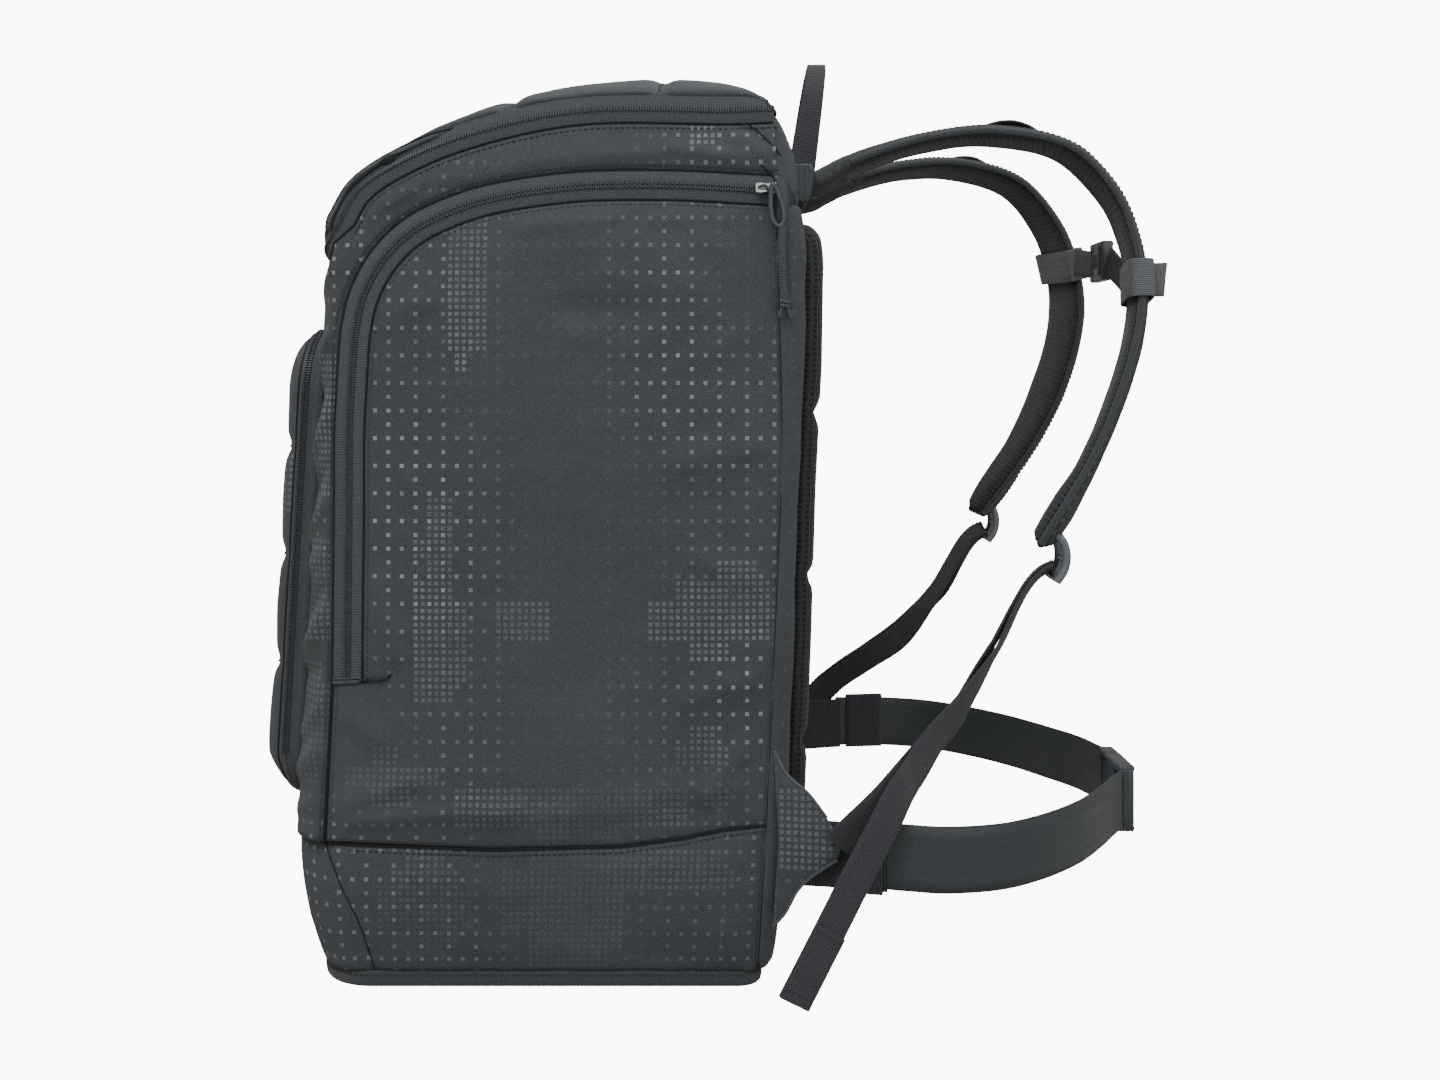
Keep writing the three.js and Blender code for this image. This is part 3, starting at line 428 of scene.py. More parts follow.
def creases(points, rows):
    """Folds of a fabric: each row is two ends, a height and a width."""
    total = np.zeros(points.shape[:-1])
    for x0, z0, x1, z1, height, width in rows:
        line = np.array([(x0, z0), (x1, z1)], float)
        part = line[1] - line[0]
        along = ((points - line[0]) @ part) / (part @ part)
        fade = np.clip(np.minimum(along + 0.25, 1.25 - along) * 3, 0, 1)
        total += height * fade * np.exp(-((reach(points, line) / width) ** 2))
    return total


def patch(left, right, top, bottom, columns, rows):
    """A grid of points between four edges."""
    l, r = spaced(left, count=rows)[:, None], spaced(right, count=rows)[:, None]
    b, t = spaced(bottom, count=columns)[None], spaced(top, count=columns)[None]
    u, v = np.linspace(0, 1, columns)[None, :, None], np.linspace(0, 1, rows)[:, None, None]
    low, high = (1 - u) * b[:, :1] + u * b[:, -1:], (1 - u) * t[:, :1] + u * t[:, -1:]
    return (1 - v) * (b - low) + v * (t - high) + (1 - u) * l + u * r


def corner_ring(corners, steps, count):
    """A closed ring of even points round corners: each has its centre, its radius and its first angle."""
    parts = []
    for x, y, radius, start in corners:
        a = np.radians(np.linspace(0, 90, steps) + start)
        parts.append(np.stack([x + radius * np.cos(a), y + radius * np.sin(a)], 1))
    return spaced(np.vstack(parts + [parts[0][:1]]), count=count + 1)[:-1]


def measured(p, wrap=False):
    """Texture places, in metres, from distances along a grid of points."""
    q = np.concatenate([p, p[:, :1]], 1) if wrap else p
    along = np.linalg.norm(np.diff(q, axis=1), axis=2).mean(0)
    up = np.linalg.norm(np.diff(q, axis=0), axis=2).mean(1)
    return np.stack(np.meshgrid(np.append(0, np.cumsum(along)), np.append(0, np.cumsum(up))), -1) * MM


BLOCK_SIGNS = [(-1, -1), (1, -1), (1, 1), (-1, 1)]
BLOCK_FACES = np.array([[4, 5, 6, 7], [0, 1, 5, 4], [1, 2, 6, 5], [2, 3, 7, 6], [3, 0, 4, 7], [3, 2, 1, 0]])
SHARP_ANGLE = math.radians(50)


class Form:
    """Collects faces in millimetres and makes one object of them in metres."""

    def __init__(self):
        self.points, self.faces, self.uvs, self.finishes, self.count = [], [], [], [], 0

    def keep(self, points, faces, uv, finish):
        self.points.append(points)
        self.faces += [[self.count + i for i in face] for face in faces]
        self.uvs.append(uv)
        self.finishes += [finish] * len(faces)
        self.count += len(points)
        return self

    def grid(self, points, uv=None, wrap=False, flip=False, finish=0):
        p = np.asarray(points, float)
        rows, columns = p.shape[:2]
        uv = measured(p, wrap) if uv is None else uv
        across = columns if wrap else columns - 1
        i, j = (g.ravel() for g in np.meshgrid(np.arange(rows - 1), np.arange(across), indexing="ij"))
        k = (j + 1) % columns
        quads = np.stack([i * columns + j, i * columns + k, (i + 1) * columns + k, (i + 1) * columns + j], 1)
        places = np.stack([uv[i, j], uv[i, j + 1], uv[i + 1, j + 1], uv[i + 1, j]], 1)
        if flip:
            quads, places = quads[:, ::-1], places[:, ::-1]
        return self.keep(p.reshape(-1, 3), quads.tolist(), places.reshape(-1, 2), finish)

    def facing(self, points, inside, uv=None, wrap=False, finish=0):
        """A grid whose faces look away from a place inside."""
        p = np.asarray(points, float)
        return self.grid(p, uv, wrap, not oriented(p, inside), finish)

    def polygon(self, ring, flip=False, finish=0):
        order = list(range(len(ring)))[:: -1 if flip else 1]
        return self.keep(ring, [order], ring[order][:, :2] * MM, finish)

    def tube(self, sections, uv=None, finish=0, caps=True):
        """A closed skin through rings of points."""
        self.grid(sections, uv, True, False, finish)
        if caps:
            self.polygon(sections[0], True, finish)
            self.polygon(sections[-1], False, finish)
        return self

    def blocks(self, centres, a, b, c, sizes, taper, finish):
        """Many small bars: each has half sizes along its own three directions, and a narrower top."""
        sx, sy, sz = sizes
        low = [centres + a * x * sx + b * y * sy - c * sz for x, y in BLOCK_SIGNS]
        high = [centres + a * x * sx * taper + b * y * sy * taper + c * sz for x, y in BLOCK_SIGNS]
        quads = (np.arange(len(centres))[:, None, None] * 8 + BLOCK_FACES[None]).reshape(-1, 4)
        points = np.stack(low + high, 1).reshape(-1, 3)
        return self.keep(points, quads.tolist(), np.zeros((len(quads) * 4, 2)), finish)

    def make(self, name, materials, weld=0.02, thick=None):
        data = bpy.data.meshes.new(name)
        data.from_pydata((np.vstack(self.points) * MM).tolist(), [], self.faces)
        layer = data.uv_layers.new(name="UVMap")
        layer.uv.foreach_set("vector", np.vstack(self.uvs).astype(np.float32).ravel())
        data.polygons.foreach_set("material_index", self.finishes)
        for material in materials:
            data.materials.append(material)
        if weld:
            b = bmesh.new()
            b.from_mesh(data)
            bmesh.ops.remove_doubles(b, verts=b.verts, dist=weld * MM)
            b.to_mesh(data)
            b.free()
        data.shade_smooth()
        data.set_sharp_from_angle(angle=SHARP_ANGLE)
        piece = bpy.data.objects.new(name, data)
        bpy.context.scene.collection.objects.link(piece)
        if thick:
            solid = piece.modifiers.new("thickness", "SOLIDIFY")
            solid.thickness, solid.offset = thick * MM, -1
            solid.use_even_offset = False
            solid.material_offset = len(materials) - 1
            solid.material_offset_rim = 0
        return piece


def skin(name, p, uv, materials, inside, thick):
    """A fabric surface from one grid, facing away from a place inside."""
    return Form().facing(p, inside, uv).make(name, materials, thick=thick)


def settle(piece, body, slot=None, nodes=(), bend=None):
    """Attaches a piece to the body that it moves with and hides the nodes that it replaces; a piece given a
    bend is only fixed in place, not bent. The slot is not used.
    """
    if bend:
        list(bend)
        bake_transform(piece)
    else:
        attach(piece, body)
    if nodes:
        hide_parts(*nodes)
    return piece


def bend_between(first, second, low, high):
    """Two bodies, and the places where a piece stops following one and follows the other, in metres."""
    return (first, second, *[tuple(np.array(place, float) * MM) for place in (low, high)])


def tube_along(line, radius, sides=8, squash=1.0):
    """Rings round a line, for cords, seams and piping."""
    tangent = unit(np.gradient(line, axis=0))
    first = np.cross(tangent[0], (0, 0, 1))
    if np.linalg.norm(first) < 0.2:
        first = np.cross(tangent[0], (0, 1, 0))
    turn = np.linspace(0, math.tau, sides, endpoint=False)[:, None]
    across, rings = unit(first), []
    for point, direction in zip(line, tangent):
        across = unit(across - direction * (across @ direction))
        other = np.cross(direction, across)
        rings.append(point + radius * (np.cos(turn) * across + np.sin(turn) * other * squash))
    return np.array(rings)


def flat_section(wide, thick, rounding=0.45):
    """Outline of a strap's cross section: flat faces and round edges."""
    w, t = wide / 2, thick / 2
    turn = np.radians([-90, -45, 0, 45, 90])
    right = [(w - t * rounding + t * rounding * math.cos(a), t * math.sin(a)) for a in turn]
    upper = [(w * q, t) for q in (0.6, 0.2, -0.2, -0.6)]
    half = np.array(right + upper)
    return np.vstack([half, -half])


def frames(line, wide):
    """At each point of a strap: the direction along it, the one across its width and the one through it."""
    tangent = unit(np.gradient(line, axis=0))
    across = unit(wide - tangent * (wide * tangent).sum(1)[:, None])
    return tangent, across, np.cross(tangent, across)


def strap(line, wide, section):
    """Rings of a strap. Its width lies along wide, and its section may change from 0 to 1 along it."""
    _, across, through = frames(line, wide)
    rings = []
    for i, point in enumerate(line):
        s = section(i / (len(line) - 1)) if callable(section) else section
        rings.append(point + s[:, :1] * across[i] + s[:, 1:] * through[i])
    return np.array(rings)


def strap_uv(line, section):
    """Texture places with u across the width and v along the strap, in metres."""
    u = np.append(section[:, 0], section[0, 0]) - section[:, 0].min()
    return np.stack(np.meshgrid(u, run_along(line)), -1) * MM


def turned_width(line, angle_at):
    """Which way a strap's width lies: along Y, turned about the strap by an angle in degrees."""
    _, across, up = frames(line, ACROSS)
    a = np.radians([angle_at(i / (len(line) - 1), p) for i, p in enumerate(line)])[:, None]
    return across * np.cos(a) + up * np.sin(a)


def closed_band(centre, w, n, half_wide, half_thick, squareness, count):
    """A band's outline round a strap, nearly a rectangle."""
    turn = np.linspace(0, math.tau, count, endpoint=False)
    c, s = np.cos(turn), np.sin(turn)
    a = np.sign(c) * np.abs(c) ** squareness[0] * half_wide
    b = np.sign(s) * np.abs(s) ** squareness[1] * half_thick
    return centre + a[:, None] * w + b[:, None] * n


def directed(line, normal):
    """For bars along a line: the direction of the line, and the normals spread along it."""
    here, there = np.linspace(0, 1, len(normal)), np.linspace(0, 1, len(line))
    n = np.stack([np.interp(there, here, column) for column in np.array(normal, float).T], 1)
    t = unit(np.gradient(line, axis=0))
    return t, unit(n - t * (n * t).sum(1)[:, None])


STITCH_PITCH = 3.7
STITCH_HALF = (1.2, 0.35, 0.3)


def stitches(form, line, normal, finish=0):
    """A row of stitches along a line on a surface."""
    p = spaced(line, STITCH_PITCH)
    t, n = directed(p, normal)
    form.blocks(p, t, np.cross(t, n), n, STITCH_HALF, 0.8, finish)


def coil_teeth(form, line, normal, pitch, half):
    """The teeth of a coil zip: small bars across its line, leaning alternately."""
    p = spaced(line, pitch)
    t, n = directed(p, normal)
    lean = np.where(np.arange(len(p)) % 2, 0.28, -0.28)[:, None]
    a = unit(np.cross(t, n) + t * lean)
    form.blocks(p + n * 0.55, a, np.cross(n, a), n, (half, 0.5, 0.55), 0.72, 1)


add_camera()

# ---------------------------------------------------------------- the outlines that the pieces share

ZIP_A, ZIP_B = (130, 484), (-123, 187)
DOOR_ZIP = [ZIP_A, (66, 487), (5, 485), (-52, 474), (-90, 454), (-113, 420), (-121, 354), (-122, 285), ZIP_B]
LID_EDGE = [(134.5, 533), (110, 532), (22, 532), (-30, 523), (-80, 506), (-115, 484.5), (-127.6, 464)]
REAR_SEAM = [(11, 125), (140, 132), (327, 140), (467, 136), (524, 134)]
BACK_FACE = [(11, 133), (60, 138), (100, 141), (200, 145), (300, 148), (380, 152), (446, 153), (478, 150),
             (505, 146), (528, 137)]
FRONT_FACE = [(10, -144), (40, -152), (91, -158), (390, -141), (450, -138)]
FRONT_EDGE = [(90, -136.4), (187, -132.4), (354, -130.6), (460, -130.4)]
BASE_SEAM = [(-158, 96), (-137, 90), (-92, 88), (-37, 86), (43, 88), (80, 93), (104, 98), (131, 101)]
HALF_WIDTH = 170
HALF_WIDTHS = [(10, 164), (60, HALF_WIDTH)]
CORNER = 34
TAPE = 9.0
INSIDE = (0, 0, 270)


def half_width(z):
    return at(HALF_WIDTHS, z)


def on_side(q, side, out=0.0):
    """Points of the side view, as [x, z], put on the side face."""
    return lifted(q, side * (half_width(q[..., 1]) + out))


def lifted(q, y):
    """Points of the side view, as [x, z], put at y."""
    return np.stack([q[..., 0], np.broadcast_to(y, q.shape[:-1]), q[..., 1]], -1)


def outwards(side):
    """The direction away from the side face, as the list that stitches and teeth take."""
    return [(0, side, 0)] * 2


def corner_arc(z):
    """At height z: where the side face ends, and how deep and how long the front corner is."""
    edge = at(FRONT_EDGE, z)
    depth = edge - at(FRONT_FACE, z)
    return edge, depth, math.pi / 4 * (1.5 * (CORNER + depth) - np.sqrt(CORNER * depth))


def around(w, z, side, out=0.0):
    """A point of the wall at height z. w is X on the side face, and goes on round the front corner."""
    edge, depth, length = corner_arc(z)
    past = edge - w
    turn = np.clip(past / length, 0, 1) * math.pi / 2
    x = np.where(past <= 0, w, edge - depth * np.sin(turn)) - out * np.sin(turn)
    inwards = CORNER * (1 - np.cos(turn)) + np.maximum(past - length, 0)
    return np.stack([x, side * (half_width(z) - inwards + out * np.cos(turn)), z], -1)


def middle_w(z):
    """The value of w in the middle of the front."""
    edge, _, length = corner_arc(z)
    return edge - length - (half_width(z) - CORNER)


def front_w(p):
    """The value of w at a point of the front with that Y and Z."""
    edge, _, length = corner_arc(p[:, 2])
    inwards = half_width(p[:, 2]) - np.abs(p[:, 1])
    turn = np.arccos(np.clip(1 - inwards / CORNER, 0, 1))
    return edge - length * turn / (math.pi / 2) - np.maximum(inwards - CORNER, 0)


teeth_line = spline(DOOR_ZIP, 3)
outer_seam = beside(teeth_line, -TAPE)
inner_seam = beside(teeth_line, TAPE)
lid_teeth = spline(LID_EDGE, 3)
lid_seam = beside(lid_teeth, 8.4)


def door_bend(name, side):
    """The two places on the straight line between the ends of a side door's zip, where the door would fold.
    """
    a, b = np.array(ZIP_A, float), np.array(ZIP_B, float)
    across = unit(a - b)[::-1] * (-1, 1) * 14
    low, high = ((x, side * HALF_WIDTH, z) for x, z in ((a + b) / 2 - across, (a + b) / 2 + across))
    return bend_between("bag", f"side_door_{name}", low, high)


# ---------------------------------------------------------------- side panels with their doors

SIDE_FOLDS = [
    (-134, 110, -80, 130, 1.4, 7), (-120, 104, -20, 112, 1.5, 5), (-40, 106, 60, 112, 1.3, 6),
    (20, 120, 118, 124, 1.1, 7), (-128, 170, -100, 150, 1.2, 6), (-108, 250, -92, 200, 1.0, 8),
    (126, 400, 80, 380, 1.0, 9), (130, 330, 70, 318, 1.1, 9), (128, 250, 84, 262, 1.0, 8),
    (126, 190, 80, 176, 1.2, 8), (-104, 330, -80, 300, 0.9, 9), (-112, 400, -70, 420, 0.9, 8),
    (60, 466, 110, 470, 0.9, 6), (-20, 462, 40, 468, 1.0, 6), (118, 148, 90, 116, 1.3, 7),
    (6, 411, 62, 411, -1.3, 9),
]
PANEL_FOOT = (-136.2, 91)
ZIP_STEP = [(-131.6, 186.5), (-115.5, 188)]


def side_outline():
    """The panel's left, right, top and bottom edges in the side view."""
    below = spaced([PANEL_FOOT, ZIP_STEP[0]], 3)
    step = spaced(ZIP_STEP, 3)
    corner = int(np.argmin(np.abs(inner_seam[:, 0] + 84)))
    left = np.vstack([below[:-1], step[:-1], inner_seam[corner:][::-1]])
    top = inner_seam[: corner + 1][::-1]
    z = np.linspace(at(BASE_SEAM, 130.4) - 1.0, 467, 90)
    right = np.vstack([np.stack([at(REAR_SEAM, z), z], 1), top[-1:] + (2.4, -1.5)])
    top = np.vstack([top[:-1], right[-1:]])
    x = np.linspace(PANEL_FOOT[0], right[0, 0], 90)
    bottom = np.stack([x, at(BASE_SEAM, x) - 1.0], 1)
    bottom[-1] = right[0]
    return left, right, top, bottom


def side_surface(q, edges, seed):
    """How far the padded side stands out at points of the side view."""
    d = np.minimum(reach(q, edges), 200)
    wave = ripple(q, 62, seed) * 2.1 + ripple(q, 27, seed + 9, (1, 1.5, 1)) * 0.8
    return puff(d, 3.4, 22, 1.1, 2.6) + np.clip(d / 14, 0, 1) * (wave + 1.9 * creases(q, SIDE_FOLDS))


def make_side(name, side):
    left, right, top, bottom = side_outline()
    q = patch(left, right, top, bottom, 96, 132)
    edges = np.vstack([bottom, right, top[::-1], left[::-1]])
    seed = 3.7 * side
    p = on_side(q, side, side_surface(q, edges, seed))
    piece = skin(f"side_{name}", p, q * MM, [FABRIC_SIDE, LINING], INSIDE, 2.4)
    settle(piece, None, "shell_fabric", (f"side_panel_{name}", f"side_door_{name}"), door_bend(name, side))

    rim = Form()
    below_zip = left[:35]
    # Thin tubes of painted shadow along the door seam and the seam below the zip, then rows of stitches
    # beside them.
    for line, sink in ((inner_seam, 0.3), (below_zip, 0.1)):
        rim.tube(tube_along(on_side(line, side, -sink), 0.5))
    for line in (beside(inner_seam, 3.0), beside(below_zip[:32], -3.0)):
        lift = side_surface(line[np.newaxis], edges, seed)[0]
        stitches(rim, on_side(line, side, lift + 0.1), outwards(side), 1)
    settle(rim.make(f"side_seam_shadow_and_stitches_{name}", [SEAM_SHADOW, THREAD], weld=0), None, None, (), door_bend(name, side))


# ---------------------------------------------------------------- band round the doors, and the front

FRONT_FOLDS = [
    (-136, 396, -158, 372, 2.4, 5), (-137, 366, -170, 352, -1.2, 5), (-134, 352, -166, 318, 2.6, 6),
    (-138, 316, -160, 300, -2.0, 5), (-133, 300, -164, 272, 2.2, 5), (-142, 262, -168, 254, 1.6, 6),
    (-136, 246, -160, 226, -1.8, 5), (-134, 232, -168, 196, 2.6, 6), (-140, 196, -164, 188, -1.4, 5),
    (-136, 178, -160, 154, 1.8, 5), (-134, 150, -170, 128, 2.4, 7), (-142, 116, -166, 106, 1.4, 6),
    (-134, 440, -162, 420, 1.6, 7), (-20, 498, 60, 504, 1.0, 6), (70, 510, 124, 500, 1.3, 6),
    (-112, 470, -84, 486, 1.2, 7), (108, 520, 130, 504, 1.4, 5), (-60, 488, -20, 494, 0.9, 5),
]
FRONT_COLUMNS = (76, 46, 84)
LID_FRONT = (-140, 448)
LID_ROUNDNESS = 0.4


def lid_rim(u, offset, drop):
    """A line beside the lid's zip round the front, from one side (u = 1) to the middle (u = 0)."""
    start = beside(lid_teeth, offset)[-1]
    x, z = LID_FRONT
    angle = np.abs(u) * math.pi / 2
    fall = 1 - np.maximum(np.cos(angle), 0) ** LID_ROUNDNESS
    y = HALF_WIDTH * np.sin(angle) ** LID_ROUNDNESS
    return np.stack([x + (start[0] - x) * fall, y, z - drop + (start[1] - z + drop) * fall], -1)


def front_grid():
    """The band and the front in the (w, z) plane, from the door zip outwards."""
    seam = np.vstack([[(136.2, 492.8)], outer_seam[:-1], spaced([outer_seam[-1], (-137.4, 90.8)], 3)])
    above = lid_seam[:-1]
    rim = lid_rim(np.linspace(1, 0, 60), 8.4, 14.5)
    rim = rim[rim[:, 1] < half_width(rim[:, 2]) - 0.05]
    rim_w = np.stack([front_w(rim), rim[:, 2]], 1)
    z = np.linspace(rim_w[-1, 1], 96.4, 80)
    down = np.stack([middle_w(z), z], 1)
    cuts = [int(np.argmin(np.linalg.norm(seam - place, axis=1))) for place in ((-104, 455), (-130, 372))]
    parts = [seam[a : b + 1] for a, b in zip([0] + cuts, cuts + [len(seam) - 1])]

    def joined(lines):
        lines = [spaced(line, count=n) for line, n in zip(lines, FRONT_COLUMNS)]
        return np.vstack([lines[0][:-1], lines[1][:-1], lines[2]])

    inner, outer = joined(parts), joined([above, np.vstack([above[-1:], rim_w]), down])
    t = (np.linspace(0, 1, 60) ** 1.25)[None, :, None]
    return inner[:, None] * (1 - t) + outer[:, None] * t, seam, np.vstack([above, rim_w])


def make_front():
    form, trim = Form(), Form()
    q, seam, top = front_grid()
    d = np.minimum(reach(q, seam), reach(q, top))
    soft = np.clip(d / 10, 0, 1) * np.clip((q[..., 0] - middle_w(q[..., 1])) / 30, 0, 1)
    folds = 1.45 * creases(q, FRONT_FOLDS)
    thread = beside(seam, -3.0)
    below_lid = beside(lid_seam, 3.0)
    for _, side in SIDES:
        out = puff(d, 2.2, 9, 0.9, 2.4) + soft * (ripple(q, 34, 5.1 * side) * 1.1 + folds)
        form.facing(around(q[..., 0], q[..., 1], side, out), INSIDE, q * MM)
        # Thin tubes of painted shadow along the band's seam and along its top edge.
        for line in (seam, top):
            trim.tube(tube_along(around(line[:, 0], line[:, 1], side, -0.1), 0.5))
        stitches(trim, around(thread[:, 0], thread[:, 1], side, 1.0), outwards(side), 1)
        stitches(trim, on_side(below_lid[below_lid[:, 0] > -128], side, 1.1), outwards(side), 1)
    piece = form.make("front_and_band", [FABRIC_FRONT, LINING], weld=0.6, thick=2.2)
    settle(piece, "bag", "shell_fabric", ("front_panel", "side_band_right", "side_band_left"))
    settle(trim.make("front_seam_shadows_and_stitches", [SEAM_SHADOW, THREAD], weld=0), "bag")


# ---------------------------------------------------------------- zips

HEM_ENDS = (-131.4, -115.8)
LID_TAPES = {
    "lid_zip_upper": ("lid", -1, 0.9, (), ((-8.6, 0.0, -0.6), (-4.2, 2.8, 0.5), (0.3, 5.8, 0.8))),
    "lid_zip_lower": ("bag", 0, -0.9, ("lid_zip",), ((-0.3, 5.2, 1.0), (4.4, 10.0, 0.5), (8.8, 15.0, -0.8))),
}


def make_door_zip(name, side):
    run = spaced(np.vstack([[(136.8, 483.8)], teeth_line]), 2.5)
    for part, sign, body, bend in (("fixed", -1, "bag", None), ("door", 1, None, door_bend(name, side))):
        rows = []
        for s in np.linspace(0, 1, 5):
            near, high = -0.25, 0.7 - 0.12 * sign
            line = beside(run, sign * (near + (TAPE + 0.4 - near) * s))
            rows.append(on_side(line, side, high - (high + 0.9) * s**2))
        form = Form().facing(rows, INSIDE)
        coil_teeth(form, on_side(beside(run, sign * 1.15), side, 0.6), outwards(side), 1.5, 1.25)
        nodes = (f"door_zip_{name}",) if part == "fixed" else ()
        piece = form.make(f"door_zip_{part}_{name}", [TAPE_MAT, COIL], weld=0)
        settle(piece, body, "zip_tape", nodes, bend)
    hem = Form()
    for z, out, radius in ((186.6, 0.7, 1.0), (189.0, 0.9, 0.5)):
        line = spaced([(HEM_ENDS[0], z), (HEM_ENDS[1], z + 0.7)], 2)
        hem.tube(tube_along(on_side(line, side, out), radius))
    settle(hem.make(f"door_zip_hem_{name}", [TAPE_MAT], weld=0), "bag", "zip_tape")


def rounded_rear(line):
    """The lid's edge line, turned down where it meets the back."""
    z = line[:, -1] - 7 * np.clip((line[:, 0] - 118) / 16, 0, 1) ** 2
    return np.column_stack([line[:, :-1], z])


def lid_line(offset, drop, out):
    """A line beside the lid's zip, right round the front from one rear end to the other."""
    side_part = lifted(beside(lid_teeth, offset), HALF_WIDTH + out)
    front = lid_rim(np.linspace(1, 0, 90), offset, drop)
    front = front[front[:, 1] < HALF_WIDTH - 2.0]
    slope = np.abs(np.gradient(front, axis=0))
    front = front + unit(np.stack([-slope[:, 1], slope[:, 0], 0 * slope[:, 0]], 1)) * out
    half = spaced(np.vstack([side_part, front]), 2.5)
    if offset < -4:
        half = rounded_rear(half)
    return spaced(np.vstack([half, half[-2::-1] * (1, -1, 1)]), count=300)


def make_lid_zip():
    for name, (body, teeth_row, shift, nodes, offsets) in LID_TAPES.items():
        p = np.array([lid_line(*row) for row in offsets])
        form = Form().facing(p, INSIDE)
        edge = p[teeth_row]
        out = unit(edge * (1, 1, 0))
        coil_teeth(form, edge + (0, 0, shift) - out * 0.2, out[::5], 1.6, 1.2)
        settle(form.make(name, [TAPE_MAT, COIL], weld=0), body, "zip_tape", nodes)


# ---------------------------------------------------------------- lid

LID_ROWS = [
    (1, -140, 448), (0.9, -135, 464), (0.8, -126, 481), (0.7, -113, 501), (0.6, -92, 519), (0.5, -62, 535.5),
    (0.4, -31, 548), (0.3, -2, 556), (0.2, 30, 560.5), (0.1, 70, 560.5), (0.04, 104, 552.5),
    (0.015, 124, 541.5), (0, 134, 532),
]
LID_SEAMS = (-98, -26, 65)
LID_LANE = 62
LID_LOWEST = 440
HINGE_SECTION = [(131.5, 522), (134.6, 526.5), (136.4, 529.8), (136.2, 532.0), (134.2, 533.6), (129.5, 534.6)]


def lid_seam_at(x, y):
    """Where a quilting seam runs, which bows forward in the middle of the lid."""
    return x + 10 * (1 - (y / HALF_WIDTH) ** 2)


def make_lid():
    """The lid: rows from its front to its rear, each the X and Z of its middle and a place on the zip."""
    row_step = 20.0
    fine = np.linspace(0, len(LID_ROWS) - 1, 110)
    path = spline([(i * row_step, *row) for i, row in enumerate(LID_ROWS)], 0.5)
    rim = rounded_rear(spaced(beside(lid_teeth, -7.6), count=200))
    u = np.linspace(-1, 1, 121)
    angle = np.abs(u) * math.pi / 2
    rows = []
    for i, a, x, z in zip(fine, *[np.interp(fine * row_step, path[:, 0], path[:, k]) for k in (1, 2, 3)]):
        edge = rim[int(round(np.clip(a, 0, 1) * (len(rim) - 1)))]
        power = 2 / at([(0, 5), (1, 3.8), (2, 2.8), (4, 2.3)], i)
        fall = 1 - np.maximum(np.cos(angle), 0) ** power
        y = np.sign(u) * HALF_WIDTH * np.sin(angle) ** power
        rows.append(np.stack([x + (edge[0] - x) * fall, y, z + (edge[1] - z) * fall], 1))
    p = np.array(rows)
    run = measured(p)
    across, back = run[..., 0] / MM, run[..., 1] / MM
    border = np.minimum.reduce([across, across[:, -1:] - across, back, back[-1:] - back, 60 + 0 * back])
    quilt = np.minimum.reduce([np.abs(p[..., 0] - lid_seam_at(s, p[..., 1])) for s in LID_SEAMS])
    lanes = np.minimum(np.abs(np.abs(p[..., 1]) - LID_LANE), 60)
    out = puff(border, 2.6, 10, 1.4, 3)
    out -= 3.4 * np.exp(-((quilt / 5.5) ** 2)) * np.clip(border / 8, 0, 1)
    out -= 1.8 * np.exp(-((lanes / 4.5) ** 2)) * np.clip(border / 25, 0, 1)
    out += ripple(p, 30, 2.2) * 0.8 * np.clip(border / 8, 0, 1)
    p = p + grid_normals(p) * (1 if oriented(p, INSIDE) else -1) * out[..., None]
    p[..., 2] = np.maximum(p[..., 2], LID_LOWEST)
    uv = run - run[:, 60:61] * (1, 0)
    piece = skin("lid", p, uv, [FABRIC_TOP, LINING], INSIDE, 3.2)
    settle(piece, "lid", "shell_fabric", ("lid_panel",))

    # Thin tubes of painted shadow along the quilting seams and the lid's edges.
    trim = Form()
    columns = np.arange(6, p.shape[1] - 6)
    for s in LID_SEAMS:
        nearest = np.argmin(np.abs(p[..., 0] - lid_seam_at(s, p[..., 1])), axis=0)
        trim.tube(tube_along(spaced(p[nearest[columns], columns], 3) + (0, 0, 0.1), 0.4, 6))
    for edge in (p[:, 0], p[:, -1], p[0]):
        trim.tube(tube_along(spaced(edge, 3), 0.5, 6))
    settle(trim.make("lid_seam_shadows", [SEAM_SHADOW], weld=0), "lid")


def make_lid_hinge():
    """The strip of fabric that joins the lid to the top of the back."""
    section = spline(HINGE_SECTION, 1)
    p = np.array([lifted(section, y) for y in np.linspace(-165.5, 165.5, 60)])
    piece = skin("lid_hinge_strip", p, measured(p), [FABRIC_PLAIN], (100, 0, 500), 0.8)
    bend = bend_between("bag", "lid", (136.2, 0, 528.5), (134.5, 0, 534.5))
    settle(piece, None, "shell_fabric", (), bend)


# ---------------------------------------------------------------- front pocket

POCKET_HALF, POCKET_LOW, POCKET_HIGH, POCKET_RADIUS = 146, 106, 400, 38
POCKET_MIDDLE = 253
POCKET_CORE, POCKET_DEEPEST = 60, 140.8
POCKET_SEAMS = (328, 261, 194)
POCKET_RISE = [
    (0, 0), (1.8, 0.2), (5, 0.46), (10, 0.66), (18, 0.82), (32, 0.91), (50, 0.96), (95, 1), (140, 1),
]


def pocket_ring(inset):
    """The pocket's outline as [y, z], some way inside its edge."""
    if inset > POCKET_CORE:
        share = (POCKET_DEEPEST - inset) / (POCKET_DEEPEST - POCKET_CORE)
        return between(np.array((0, POCKET_MIDDLE)), pocket_ring(POCKET_CORE), share)
    r = max(POCKET_RADIUS - inset, 6)
    y, low, high = POCKET_HALF - inset - r, POCKET_LOW + inset + r, POCKET_HIGH - inset - r
    return corner_ring([(y, low, r, -90), (y, high, r, 0), (-y, high, r, 90), (-y, low, r, 180)], 12, 220)


